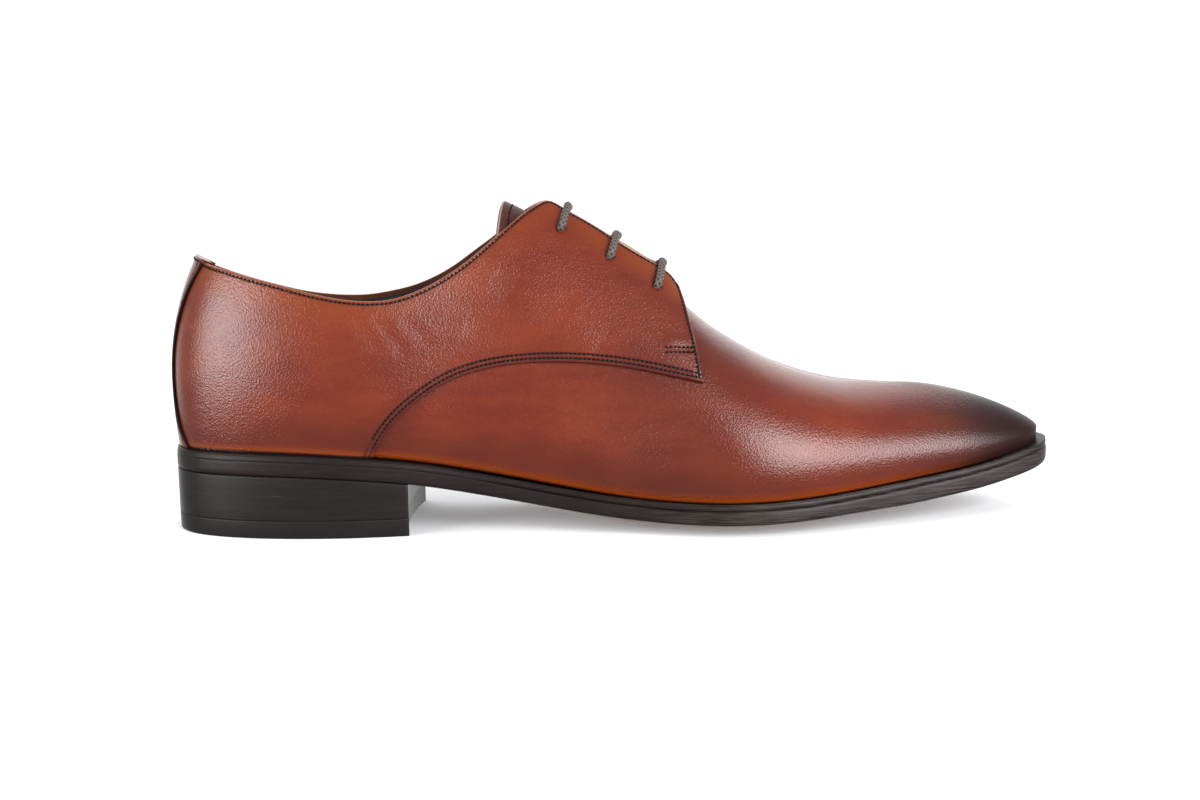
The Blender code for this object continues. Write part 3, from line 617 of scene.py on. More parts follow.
def edge_look():
    """Cut edge of the quarters: pale along the topline, partly the raw cut edge and partly a painted
    highlight, and waxed dark elsewhere.
    """
    look = Look("cut_edge", roughness=0.5, specular=0.3)
    # Pale near the topline: partly the raw cut edge, partly a painted highlight
    high = 1 - look.mark("top").ramp(0.6, 1.6)
    fibre = look.noise(1.4, 3.0)
    look.set("Base Color", look.mix(high * (0.6 + fibre * 0.5), (0.03, 0.012, 0.009),
                                    (0.40, 0.24, 0.16)))
    look.bump(fibre, 0.08, 0.5)
    return look.material


def tongue_look():
    """Dark calf of the tongue, with a pale line along its edge, partly the cut edge and partly a painted
    highlight.
    """
    look = Look("tongue_calf", roughness=0.5, specular=0.22)
    clouds, grain = look.noise(0.12, 4.0), look.noise(1.6, 4.0)
    colour = look.mix((clouds * 0.6 + grain * 0.4).ramp(0.35, 0.68), (0.046, 0.0135, 0.0105),
                      (0.072, 0.021, 0.0150))
    # Pale line near the rim: partly the cut edge, partly a painted highlight on the rounded edge
    look.set("Base Color", look.mix(look.mark("rim").bell(0.35, 0.45), colour, (0.30, 0.22, 0.18)))
    look.bump(grain, 0.08, 0.7)
    return look.material


def plain_leather(name, one, two, roughness, depth, scale=1.2, coat=0.0, specular=0.3):
    """Leather with one soft clouding and a fine grain."""
    look = Look(name, roughness=roughness, specular=specular, coat=coat)
    clouds = look.noise(0.12, 4.0)
    grain = look.noise(scale, 4.0)
    look.set("Base Color", look.mix((clouds * 0.6 + grain * 0.4).ramp(0.35, 0.68), one, two))
    look.set("Roughness", roughness - 0.05 + grain * 0.12)
    look.bump(grain, depth, 0.6)
    return look.material


LEATHER = calf("burnished_calf")
VAMP_LEATHER = calf("burnished_calf_vamp", vamp=True)
STRIP_LEATHER = calf("strip_calf", (0.080, 0.0120, 0.0050), (0.11, 0.018, 0.0060),
                     (0.034, 0.008, 0.006), specular=0.22)
LINING = plain_leather("black_lining", (0.010, 0.008, 0.008), (0.018, 0.014, 0.013), 0.6, 0.05)
TONGUE_LEATHER = tongue_look()
RAW_EDGE = edge_look()
FOLD = plain_leather("folded_edge", (0.085, 0.026, 0.014), (0.13, 0.04, 0.02), 0.5, 0.04)
THREAD = plain_leather("black_thread", (0.003, 0.002, 0.002), (0.009, 0.007, 0.006), 0.6, 0.05, 6.0,
                       specular=0.12)


# Upper
def along(grid):
    """Length run along each column of a grid, from its first row."""
    step = np.linalg.norm(np.diff(grid, axis=0), axis=-1)
    return np.concatenate([0 * step[:1], np.cumsum(step, axis=0)])


def quarter(side):
    """Quarter of one side: its outer face between the seam, the topline and the facing's front.

    The face is a surface over two edge curves in share and v, straight between them, and bent
    near the front so that its last column is the facing's front edge. The rows stand at set
    distances from the edges, so that the rounded edge and the stitch channels are sharp.
    """
    levels = np.linspace(0, 1, 13)
    zs = 51.2 + (81.4 - 51.2) * levels
    front = np.array([locate(float(FACING_FRONT("x", z)), z, side) for z in zs])
    fine = np.array([0, 0.12, 0.3, 0.5, 0.75, 1, 1.25, 1.5, 1.75, 2, 2.4, 3, 3.8, 4.6])
    foot = share_of(station(front[0, 0]) - fine)[::-1]
    look_x = np.linspace(25, 34, 200)
    at_foot = on_quarter((share_of(look_x), 0 * look_x), side)
    corner = share_of(np.interp(0, SEAM("z", at_foot[:, 0]) - at_foot[:, 2], look_x))
    foot = np.concatenate([even_shares(70, 0, corner), even_shares(170, corner, foot[0])[1:-1], foot])
    face, rise = quarter_face(foot), rise_at(foot)
    low = edge_share(foot, side, SEAM, face, rise, low=0.0)
    low = np.where(foot <= corner + 1e-9, 0.0, low)
    lean = ease((station(foot) - 88) / (station(foot[-1]) - 88))
    head = foot + (front[-1, 0] - front[0, 0]) * lean
    high = edge_share(head, side, TOPLINE[side], quarter_face(head), rise_at(head))
    low[-1], high[-1] = front[0, 1], front[-1, 1]
    ends = np.stack([np.stack([foot, low], -1), np.stack([head, high], -1)])
    bow = front - (front[0] + (front[-1] - front[0]) * levels[:, None])
    near = ease((station(foot) - 118) / (station(foot[-1]) - 118))

    def place(w):
        """Share and v at a height w between the two edges, one row of heights a column."""
        bent = np.stack([np.interp(w, levels, bow[:, i]) for i in (0, 1)], -1)
        return ends[0] + (ends[1] - ends[0]) * w[..., None] + bent * near[:, None]

    def surface(w, offset=0.0):
        """Points at heights w and an offset from the quarter's outer face."""
        at = place(w)
        return skin(at[..., 0], at[..., 1], side, quarter_face(at[..., 0]) + offset,
                    rise_at(at[..., 0]))

    even = np.linspace(0, 1, 90)[:, None] * np.ones(len(foot))
    run = along(surface(even))
    slope = np.gradient(surface(even)[0], axis=0)
    column = surface(even)[6] - surface(even)[0]
    cosine = (slope * column).sum(1) / np.linalg.norm(slope, axis=1) / np.linalg.norm(column, axis=1)
    slant = 1 / np.maximum(np.sqrt(1 - cosine ** 2), 0.45)
    from_seam = np.array([0, .12, .3, .5, .8, 1.1, 1.35, 1.6, 1.85, 2.15, 2.5, 2.8, 3.05, 3.3, 3.55,
                          3.9, 4.5, 5.3])
    from_top = np.array([4, 3.1, 2.5, 2.1, 1.85, 1.6, 1.35, 1.1, .8, .5, .3, .12, 0])
    start = from_seam[:, None] * slant
    stop = run[-1] - from_top[:, None]
    middle = np.linspace(0, 1, 66)[1:-1, None]
    heights = np.concatenate([start, start[-1] * (1 - middle) + stop[0] * middle, stop])
    w = np.stack([np.interp(h, r, even[:, 0]) for h, r in zip(heights.T, run.T)], -1)
    base = surface(w)
    first = int(np.argmax(foot > corner))
    seam = distance(base, base[0, first - 1:])
    top = distance(base, base[-1])
    facing = distance(base, base[:, -1])
    edge = np.minimum(np.minimum(seam, top), facing)
    lap = 1 - ease(np.minimum(seam, 0.4 + facing) / 9)
    height = -0.72 * lap - rounding(edge, 0.75)
    height -= 0.16 * (bump(seam - 1.35, 0.32) + bump(seam - 2.85, 0.32))
    height -= 0.12 * bump(top - 1.15, 0.3) + 0.14 * bump(facing - 1.35, 0.32) * (top > 1.2)
    for x, z in zip(EYELETS.knots, EYELETS.column["z"]):
        height -= 0.35 * bump(np.linalg.norm(base - on_quarter(locate(x, z, side), side), axis=-1), 1.9)
    height += wear(base, side)
    outer = surface(w, height)
    inner = surface(w, -QUARTER - 0.35 * lap)
    hole = np.zeros(base.shape[:2], bool)
    for x, z in zip(EYELETS.knots, EYELETS.column["z"]):
        spot = locate(x, z, side)
        axis = on_quarter(spot, side, 1.0) - on_quarter(spot, side)
        for grid in (outer, inner):
            away = grid - on_quarter(spot, side)
            away -= (away @ axis)[..., None] * axis
            reach = np.linalg.norm(away, axis=-1)
            near = reach < 3.2
            share = np.where(near, 1.65 + (reach - 1.65) * np.clip(abs(reach - 1.65) / 0.45 - 0.1, 0, 1)
                             - reach, 0) / np.maximum(reach, 0.2)
            grid += away * share[..., None]
        hole |= reach < 1.65
    solid = ~(hole[1:, 1:] & hole[:-1, :-1] & hole[1:, :-1] & hole[:-1, 1:])
    outer[0, :first, 2] -= 0.6
    inner[0, :first, 2] -= 0.6
    for grid in (outer, inner):
        grid[:, 0, 1] = side * 0.05
    feather = distance(base, base[0, :first])
    marks = {"edge": (edge, edge * 0), "top": (top, top), "feather": (feather, feather),
             "seam": (seam, seam)}
    item = slab(f"quarter_{'outer' if side < 0 else 'inner'}_side", [outer], [inner],
                [LEATHER, FOLD, RAW_EDGE], keep=[solid],
                marks={k: ([a], [b]) for k, (a, b) in marks.items()})
    lines = {"seam": outer[:, first - 1:], "all": outer, "inner": inner, "first": first}
    return item, dict(lines, surface=surface, w=w, seam_d=seam, top_d=top, facing_d=facing,
                      base=base)


def wear(points, side):
    """Height of the soft creases and hollows of the quarter, placed in side view."""
    x, z = points[..., 0], points[..., 2]
    height = 0 * x
    for x0, z0, x1, z1, width, depth in CREASES:
        t = np.clip(((x - x0) * (x1 - x0) + (z - z0) * (z1 - z0))
                    / ((x1 - x0) ** 2 + (z1 - z0) ** 2), 0, 1)
        away = np.hypot(x - x0 - t * (x1 - x0), z - z0 - t * (z1 - z0))
        height -= depth * bump(away, width) * (1 - (2 * t - 1) ** 4)
    return height


# Creases of the quarter: from x, z to x, z, how wide and how deep
CREASES = [(24, 74, 34, 62, 2.2, 0.16), (31, 74, 42, 60, 2.6, 0.18), (40, 73, 50, 64, 2.2, 0.12),
           (60, 70, 84, 62, 5.0, 0.25), (70, 86, 96, 72, 6.0, 0.25), (76, 80, 104, 61, 8.0, -0.5),
           (126, 64.3, 137, 64.3, 1.7, -0.25)]


def quarter_skin(share, v, side, offset):
    """Point at an offset from the quarter's outer face, without the facings' rise."""
    return skin(share, v, side, quarter_face(share) + offset)


def vamp():
    """Vamp from under the quarters to the toe, over both sides.

    It lies under the quarters by their thickness, and its faces stop a little above the seam.
    """
    rows = np.concatenate([np.linspace(0, 0.05, 6), np.linspace(0.062, 1, 84)])
    shares = even_shares(300, share_of(20.0), 1.0)
    drop = QUARTER + LAP
    grids = []
    for depth in (0.0, 0.9):
        def make(share, v, side, depth=depth):
            v = v[:, None] + 0 * share
            share = share + 0 * v
            grid = quarter_skin(share, v, side, -drop - depth)
            grid[0, :, 2] -= 0.6
            return grid
        grids.append(both_sides(make, rows, shares))
    outer, inner = grids
    x, z = outer[..., 0], outer[..., 2]
    base_x = station(shares) + 0 * x
    keep = (base_x > THROAT_X - 1) | (z < SEAM("z", np.clip(x, 24, 138)) + 5)
    keep = keep[1:, 1:] & keep[:-1, :-1] & keep[1:, :-1] & keep[:-1, 1:]
    seam = np.stack([SEAM.knots, 0 * SEAM.knots, SEAM.column["z"]], 1)
    rim = np.concatenate([seam[:-1], [[138.6, 0, 51.2], [137.4, 0, 63], [134.7, 0, 78.6]]])
    flat = outer * (1, 0, 1)
    edge = distance(flat, rim) + 2.2
    feather = np.minimum(distance(outer, outer[0]), distance(outer, outer[-1]))
    marks = {"edge": ([edge], [edge]), "feather": ([feather], [feather])}
    return slab("vamp", [outer], [inner], [VAMP_LEATHER, LINING, VAMP_LEATHER], keep=[keep],
                marks=marks)


def lining():
    """Lining of the whole inside, from the collar over the throat to the toe."""
    shares = even_shares(110)
    last_open = int(np.argmax(station(shares) > THROAT_X)) + 1
    open_part, closed = shares[:last_open], shares[last_open - 1:]
    rows = np.linspace(0, 1, 26)
    grids = []
    near = ease((open_part - closed[0]) / 0.03 + 1)
    under = 1 - ease((rows[:, None] - 0.8) / 0.1) * (1 - near)
    for depth, deep in ((0.02, LAP + 0.92), (LAP + WALL - 0.1, 0)):
        patches = []
        for side in (-1, 1):
            face = quarter_face(open_part) - QUARTER - depth
            top = edge_share(open_part, side, THROAT[side], face, 0 * open_part)
            over = rows[:, None] * (top - 0.008)
            patches.append(skin(open_part + 0 * over, over, side, face - deep * under))
            corner = top[-1] - 0.008
            v = np.concatenate([rows * corner, corner + (1 - corner) * np.linspace(0, 1, 7)[1:]])
            share, v = np.broadcast_arrays(closed, v[:, None])
            patches.append(skin(share, v, side, quarter_face(share) - QUARTER - depth - deep))
        for one in (0, 1):
            ridge = (patches[1][-1] + patches[3][-1]) / 2
            patches[1 + 2 * one][-1] = ridge
        for one, other in ((0, 2), (1, 3)):
            column = 0 if one == 0 else -1
            mean = (patches[one][:, column] + patches[other][:, column]) / 2
            mean[:, 1] = 0
            patches[one][:, column] = patches[other][:, column] = mean
        grids.append(patches)
    return slab("lining", *grids, [LINING])


def tongue():
    """Tongue under the facings, a padded sheet round the ridge with rounded edges."""
    across_rows = np.concatenate([np.linspace(0, 0.9, 26), [0.93, 0.955, 0.975, 0.99, 1.0]])
    ends = np.concatenate([[0, 0.004, 0.01, 0.02, 0.035], np.linspace(0.05, 1, 70)])
    back = 72.4 - 2.6 * across_rows[:, None] + 3.0 * across_rows[:, None] ** 14
    share = share_of(back + (133.0 - back) * ends)
    x = station(share)
    reach = np.interp(x, (69, 84, 100, 112), (0.36, 0.33, 0.27, 0.24))
    v = 1 - across_rows[:, None] * reach
    face = LAYERS("tongue", np.minimum(x, 150)) + np.interp(x, (70, 84), (0.9, 0.0))
    layers = []
    base = skin(share, v, -1, face)
    rear = distance(base, base[:, 0])
    rim = np.minimum(rear, distance(base, base[-1]))
    for depth in (0.0, 1.7):
        halves = []
        for side in (-1, 1):
            drop = rounding(rim, 0.7) if depth == 0 else -0.4 * rounding(rim, 0.6)
            drop = drop + (0.2 * bump(rear - 3.4, 0.35) if depth == 0 else 0)
            halves.append(skin(share, v, side, face - depth - drop))
        ridge = (halves[0][0] + halves[1][0]) / 2
        halves[0][0] = halves[1][0] = ridge
        layers.append(halves)
    marks = {"rim": ([rim, rim], [rim + 9, rim + 9])}
    item = slab("tongue_leather", *layers, [TONGUE_LEATHER, LINING, LINING], marks=marks)
    return item, layers[0], rear


def shell(name, grids, materials, places=None, marks=None):
    """Closed piece from grids whose edges meet; points that fall together are welded."""
    rings, kinds, first = [], [], 0
    for number, grid in enumerate(grids):
        ring = quads(*grid.shape[:2])
        kinds.append(places[number][:-1, :-1].ravel() if places else np.zeros(len(ring), int))
        rings.append(ring + first)
        first += grid.shape[0] * grid.shape[1]
    points = np.concatenate([grid.reshape(-1, 3) for grid in grids])
    _, one, weld = np.unique(np.round(points, 2), axis=0, return_index=True, return_inverse=True)
    faces, kept = [], []
    for ring, kind in zip(one[weld.ravel()][np.concatenate(rings)].tolist(), np.concatenate(kinds)):
        ring = [c for c, after in zip(ring, ring[1:] + ring[:1]) if c != after]
        if len(set(ring)) > 2:
            faces.append(ring)
            kept.append(kind)
    values = {key: np.concatenate([g.ravel() for g in parts])
              for key, parts in (marks or {}).items()}
    return piece(name, points, faces, materials, kept, values)


def normals(grid):
    """Unit normals of a grid of points, from the slopes of its rows and columns."""
    out = np.cross(np.gradient(grid, axis=1), np.gradient(grid, axis=0))
    return out / np.maximum(np.linalg.norm(out, axis=-1, keepdims=True), 1e-9)


def evenly(line, pitch):
    """Points at an even pitch along a line, with the line's other values carried along."""
    run = np.concatenate([[0], np.cumsum(np.linalg.norm(np.diff(line[:, :3], axis=0), axis=1))])
    at = np.linspace(0, run[-1], max(2, int(round(run[-1] / pitch)) + 1))
    return np.stack([np.interp(at, run, column) for column in line.T], -1)


def stitches(name, lines, material, pitch=1.5, length=1.08, radius=0.4, tilt=0.0, sink=0.0):
    """Rows of stitches: each is a small rounded bead, set along a line of points and normals.

    A bead's outline is radius * sqrt(1 - t^4) at a share t of half its length.
    """
    centres, heads, outs = [], [], []
    for line in lines:
        spots = evenly(line, pitch)
        centres.append((spots[1:, :3] + spots[:-1, :3]) / 2)
        heads.append(np.diff(spots[:, :3], axis=0))
        outs.append((spots[1:, 3:] + spots[:-1, 3:]) / 2)
    centre, head, out = (np.concatenate(part) for part in (centres, heads, outs))
    head /= np.linalg.norm(head, axis=1, keepdims=True)
    out -= head * (out * head).sum(1, keepdims=True)
    out /= np.linalg.norm(out, axis=1, keepdims=True)
    beside = np.cross(head, out)
    head = head * np.cos(tilt) + beside * np.sin(tilt)
    beside = np.cross(head, out)
    t = np.array([-1, -0.86, -0.5, 0.5, 0.86, 1])
    turn = np.arange(6) * np.pi / 3
    wide = radius * np.sqrt(np.maximum(1 - t ** 4, 0.0004))
    spot = (centre - out * sink)[:, None, None] + head[:, None, None] * (t * length / 2)[:, None, None]
    spot = spot + wide[:, None, None] * (out[:, None, None] * np.cos(turn)[:, None]
                                         + beside[:, None, None] * np.sin(turn)[:, None])
    index = np.arange(len(t) * 6).reshape(len(t), 6)
    ahead = np.roll(index, -1, axis=1)
    ring = np.stack([index[:-1], ahead[:-1], ahead[1:], index[1:]], -1).reshape(-1, 4)
    rings = (ring + np.arange(len(centre))[:, None, None] * index.size).reshape(-1, 4).tolist()
    caps = np.stack([index[0][::-1], index[-1]])
    rings += (caps + np.arange(len(centre))[:, None, None] * index.size).reshape(-1, 6).tolist()
    return piece(name, spot.reshape(-1, 3), rings, [material], turn=True)


def row_at(grid, away, value, columns=None):
    """Points and normals of a grid where the distance kept in away first reaches a value."""
    out = normals(grid)
    lines = []
    for j in range(grid.shape[1]) if columns is None else columns:
        d = away[:, j]
        k = int(np.argmax(d > value))
        if k == 0:
            continue
        t = (value - d[k - 1]) / (d[k] - d[k - 1])
        lines.append(np.concatenate([grid[k - 1, j] * (1 - t) + grid[k, j] * t, out[k, j]]))
    return np.array(lines)


def sole_sheet(name, inset, profile, height, materials, drop=0.0):
    """Layer of the sole: flat rounds of points from the middle out, up its edge and back.

    profile lists how far the edge stands in from the outline, and at what height over the rim.
    Its joint with the next layer closes at the heel. drop lowers the rim at the toe.
    """
    shares = even_shares(420)
    spread = 1 - np.linspace(1, 0, 16) ** 1.6
    grids, kinds, marks = [], [], []
    x = station(shares)
    for side in (-1, 1):
        rows, kind, mark = [], [], []
        steps = [(a, profile[0][0], profile[0][1], 0) for a in spread[:-1]]
        steps += [(1.0, in_by, up, 1) for in_by, up in profile]
        steps += [(a, profile[-1][0], height, 2) for a in spread[-2::-1]]
        for a, in_by, up, sort in steps:
            open_by = 0.1 + 0.9 * ease((x - 62) / 16) if 4 < up < 5.7 and sort == 1 else 1 + 0 * x
            rim, _ = outline(shares, side, inset + in_by * open_by)
            other, _ = outline(shares, -side, inset + in_by * open_by)
            middle = (rim + other) / 2
            plan = middle + (rim - middle) * a
            dome = np.clip((1 - a) / 0.55, 0, 1)
            z = np.maximum(SOLE("rim", plan[:, 0]) - SOLE("sag", plan[:, 0]) * dome * (2 - dome), 0)
            z = z - drop * ease((x - 180) / 38) * (1 - up / height)
            rows.append(np.concatenate([plan, (z + up)[:, None]], 1))
            kind.append(np.full(len(shares), sort == 1, int))
            mark.append(np.full(len(shares), up))
        grids.append(np.array(rows))
        kinds.append(np.array(kind))
        marks.append(np.array(mark))
    return shell(name, grids, materials, kinds, {"up": marks})


def heel_loop(inset, count=640):
    """Plan of the heel at an inset, as a closed loop with its corners rounded."""
    outer, _ = outline(even_shares(300, 0, share_of(BREAST_X)), -1, inset + np.zeros(300))
    inner, _ = outline(even_shares(300, 0, share_of(BREAST_X + BREAST_SKEW)), 1, inset + np.zeros(300))
    w = np.linspace(-1, 1, 90)[1:-1]
    breast = np.stack([BREAST_X + BREAST_SKEW * (w + 1) / 2 - BREAST_HOLLOW * (1 - w * w),
                       outer[-1, 1] * (1 - w) / 2 + inner[-1, 1] * (1 + w) / 2], 1)
    loop = np.concatenate([outer, breast, inner[:0:-1]])
    loop = np.concatenate([loop, loop[:1]])
    run = np.concatenate([[0], np.cumsum(np.linalg.norm(np.diff(loop, axis=0), axis=1))])
    at = np.linspace(0, run[-1], count, endpoint=False)
    loop = np.stack([np.interp(at, run, column) for column in loop.T], 1)
    blur = bump(np.arange(-4, 5), 2.0)
    return sum(np.roll(loop, k - 4, axis=0) * weight for k, weight in enumerate(blur / blur.sum()))


def heel_part(name, profile, materials):
    """Part of the heel: its plan carried up a profile of insets and heights, closed above and below.

    A height is a number of millimetres, or a share of the way up to the sole where it follows it.
    """
    rows = []
    for in_by, z in profile:
        loop = heel_loop(in_by)
        rows.append(np.concatenate([loop, (z(loop[:, 0]) + 0 * loop[:, 0])[:, None]], 1))
    middle = np.array([4.0, 0.0])
    for end, order in ((0, 1), (-1, -1)):
        edge = rows[end]
        for a in (0.8, 0.4, 0.0):
            near = edge.copy()
            near[:, :2] = middle + (edge[:, :2] - middle) * a
            if a == 0.0:
                near[:, 2] = edge[:, 2].mean()
            rows.insert(0, near) if order > 0 else rows.append(near)
    grid = np.array(rows)
    grid = np.concatenate([grid, grid[:, :1]], 1)
    return shell(name, [grid], materials)


STRIP = Table("rows half", (0, 15.5), (0.1, 11), (0.2, 8.3), (0.35, 6.7), (0.53, 6.7), (0.68, 8.8),
              (0.82, 11.4), (0.93, 14.2), (1, 16))


def back_strip():
    """Strip over the heel seam: narrow in the middle, and folded over the collar as a small cap."""
    rows = np.concatenate([np.linspace(0, 0.93, 110), np.linspace(0.935, 1, 30)])
    spread = np.sin(np.linspace(0, np.pi / 2, 26))
    fold = ease((rows[:, None] - 0.955) / 0.02)
    layers = []
    for depth in (0, 1):
        halves = []
        for side in (-1, 1):
            half = np.minimum(STRIP("half", rows), 15 if side < 0 else 10.5)[:, None]
            share = np.interp(half * spread, WALK[:TIP + 1], WALK_SHARE[:TIP + 1])
            flat = share.ravel()
            top = edge_share(flat, side, TOPLINE[side], quarter_face(flat) + 0.9,
                             0 * flat).reshape(share.shape)
            v = rows[:, None] * np.minimum(top + 0.006, 1)
            away = np.minimum(half * (1 - spread), (1 - rows[:, None]) * 60)
            puff = 0.95 + 0.25 * fold - rounding(away, 0.6) - 0.12 * bump(away - 1.3, 0.3)
            puff = -0.2 - 3.0 * fold if depth else puff
            grid = skin(share, v, side, quarter_face(share) + puff)
            grid[0, :, 2] -= 0.6
            halves.append(grid)
        mean = (halves[0][:, 0] + halves[1][:, 0]) / 2
        mean[:, 1] = 0
        halves[0][:, 0] = halves[1][:, 0] = mean
        layers.append(halves)
    marks = {key: ([halves[0][..., 0] * 0 + value] * 2, [halves[0][..., 0] * 0 + value] * 2)
             for key, value in (("edge", 4), ("top", 20), ("feather", 20), ("seam", 20))}
    return slab("back_strip_leather", *layers, [STRIP_LEATHER], marks=marks), layers[0]


def tube(name, route, radius, material, around=14, weave=None, step=0.25):
    """Round cord along a route: rings of points square to it, held from twisting.

    weave(run, turn) gives the relief of its braid at a length along it and an angle round it.
    """
    route = np.asarray(route)
    run = np.concatenate([[0], np.cumsum(np.linalg.norm(np.diff(route, axis=0), axis=1))])
    at = np.linspace(0, run[-1], max(8, int(run[-1] / step)))
    line = smooth(run, route, bends(run, route), at)
    head = np.gradient(line, axis=0)
    head /= np.linalg.norm(head, axis=1, keepdims=True)
    side = np.cross(head, (0.0, 0.0, 1.0))
    side[0] = np.cross(head[0], (0.3, 0.1, 1.0))
    for i in range(1, len(side)):
        side[i] = side[i - 1] - head[i] * np.dot(side[i - 1], head[i])
        side[i] /= np.linalg.norm(side[i])
    side[0] /= np.linalg.norm(side[0])
    up = np.cross(side, head)
    turn = np.linspace(0, 2 * np.pi, around, endpoint=False)
    reach = radius + (weave(at[:, None], turn[None]) if weave else 0 * turn) + 0 * at[:, None]
    ends = np.sqrt(np.clip(np.minimum(at, at[-1] - at) / radius, 0.0, 1.0))
    reach = reach * np.maximum(ends, 0.02)[:, None]
    grid = line[:, None] + reach[..., None] * (side[:, None] * np.cos(turn)[:, None]
                                               + up[:, None] * np.sin(turn)[:, None])
    rings = np.arange(len(line) * around).reshape(len(line), around)
    ahead = np.roll(rings, -1, axis=1)
    faces = np.stack([rings[:-1], ahead[:-1], ahead[1:], rings[1:]], -1).reshape(-1, 4).tolist()
    faces += [rings[0][::-1].tolist(), rings[-1].tolist()]
    marks = {"run": np.repeat(at, around), "turn": np.tile(turn, len(at))}
    return piece(name, grid.reshape(-1, 3), faces, [material], marks=marks)


# Looks of the sole, heel and lace
def waxed_edge(name, one, two, painted_sheen=None):
    """Waxed edge: dark, with fine streaks along it, and a painted pale highlight in the streaks at the
    forepart.
    """
    look = Look(name, roughness=0.42, specular=0.2)
    streaks = look.noise(0.55, 5.0, (0.16, 0.16, 7.0), 0.65)
    clouds = look.noise(0.06, 3.0)
    colour = look.mix((streaks * 0.75 + clouds * 0.25).ramp(0.3, 0.7), one, two)
    if painted_sheen:
        # Painted highlight: paler streaks towards the forepart
        painted_sheen_mask = (look.x + clouds * 40).ramp(120.0, 190.0) * streaks.ramp(0.36, 0.72)
        colour = look.mix(painted_sheen_mask, colour, painted_sheen)
    scratch = look.noise(0.35, 2.0, (0.25, 0.25, 9.0)).ramp(0.70, 0.76)
    colour = look.mix(scratch * 0.35, colour, (0.09, 0.06, 0.05))
    look.set("Base Color", colour)
    look.set("Roughness", 0.30 + streaks * 0.25)
    look.bump(streaks, 0.06, 0.7)
    return look.material


def braid_look():
    """Waxed braid: grey-brown strands that cross, with painted shade between them."""
    look = Look("waxed_braid", roughness=0.62, specular=0.3)
    run, turn = look.mark("run"), look.mark("turn")
    one = ((run * 4.2 + turn * 4.0).math("SINE") * 0.5 + 0.5)
    two = ((run * 4.2 - turn * 4.0).math("SINE") * 0.5 + 0.5)
    fibre = look.noise(4.0, 3.0)
    weave = one.math("MAXIMUM", two) * 0.55 + fibre * 0.45
    # Painted shade: darker in the grooves between the strands
    look.set("Base Color", look.mix(weave.ramp(0.3, 0.85), (0.020, 0.015, 0.0135),
                                    (0.130, 0.107, 0.101)))
    look.bump(weave, 0.1, 0.8)
    return look.material


def rubber_look():
    """Dark rubber of the top piece, with a fine dusty clouding."""
    look = Look("top_piece_rubber", roughness=0.48, specular=0.2)
    dust = look.noise(0.4, 4.0)
    look.set("Base Color", look.mix(dust, (0.0068, 0.0052, 0.0045), (0.013, 0.0105, 0.0093)))
    look.bump(look.noise(2.0, 3.0), 0.05, 0.5)
    return look.material


# The last colour of the sole edge and of the welt is their painted highlight at the forepart
SOLE_EDGE = waxed_edge("sole_edge_wax", (0.0070, 0.0045, 0.0038), (0.014, 0.0092, 0.0079),
                       (0.060, 0.050, 0.046))
SOLE_FACE = plain_leather("sole_leather", (0.10, 0.062, 0.036), (0.16, 0.10, 0.06), 0.5, 0.05)
WELT = waxed_edge("welt_wax", (0.0064, 0.0042, 0.0038), (0.013, 0.0083, 0.0073), (0.045, 0.037, 0.034))
HEEL = waxed_edge("heel_wax", (0.0068, 0.0052, 0.0045), (0.013, 0.0105, 0.0093))
RUBBER = rubber_look()
BRAID = braid_look()


# The pieces
def made(item, slot, *nodes):
    """Hide the imported nodes that a piece stands for, and give the piece back. The slot, the name of
    its finish, is not used.
    """
    if nodes:
        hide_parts(*nodes)
    return item


made(lining(), "insole_leather", "upper")
made(vamp(), "upper_leather")
sides = {}
for side, node in ((-1, "quarter_lateral"), (1, "quarter_medial")):
    item, sides[side] = quarter(side)
    made(item, "upper_leather", node)
tongue_item, tongue_rows, tongue_rear = tongue()
made(tongue_item, "tongue_leather", "tongue")
strip_item, strip_rows = back_strip()
made(strip_item, "strip_leather", "back_strip")

EDGE = [(2.2, 0.0), (1.2, 0.05), (0.7, 0.16), (0.32, 0.42), (0.1, 0.85), (0.0, 1.5), (0.0, 2.6),
        (0.0, 3.9), (0.08, 4.35), (0.3, 4.75), (0.62, 4.95), (1.4, 5.05)]
made(sole_sheet("sole", 0.0, EDGE, 5.05, [SOLE_FACE, SOLE_EDGE], 1.0), "sole_edge", "outsole")
BEAD = [(1.2, 5.0), (0.62, 5.05), (0.28, 5.25), (0.12, 5.6), (0.12, 6.25), (0.26, 6.6), (0.3, 6.72),
        (0.2, 6.86), (0.24, 7.1), (0.5, 7.26), (0.95, 7.28), (1.6, 7.2)]
made(sole_sheet("welt", 0.1, BEAD, 7.2, [WELT, WELT]), "welt", "midsole")

lifts = [(0.6, 0.0), (0.4, 0.0), (0.1, 0.1), (0.0, 0.4), (0.0, 5.5), (0.03, 5.85), (0.12, 5.97),
         (0.8, 6.0)]
made(heel_part("heel_rubber", [(0.3 - 0.02 * z + in_by, lambda x, z=z: z) for in_by, z in lifts],
               [RUBBER]), "top_piece", "heel_top_piece")
stack = [(0.8, 0.0), (0.12, 0.003), (0.03, 0.012), (0.0, 0.03), (0.0, 0.25), (0.0, 0.5), (0.0, 0.75),
         (0.0, 0.96), (0.05, 0.99), (0.2, 1.0), (0.8, 1.004)]
made(heel_part("heel_lifts", [(0.18 - 0.12 * t + in_by, lambda x, t=t: 6.0 + (SOLE("rim", x) - 5.95) * t)
                              for in_by, t in stack], [HEEL]), "heel_layers", "heel_stack")


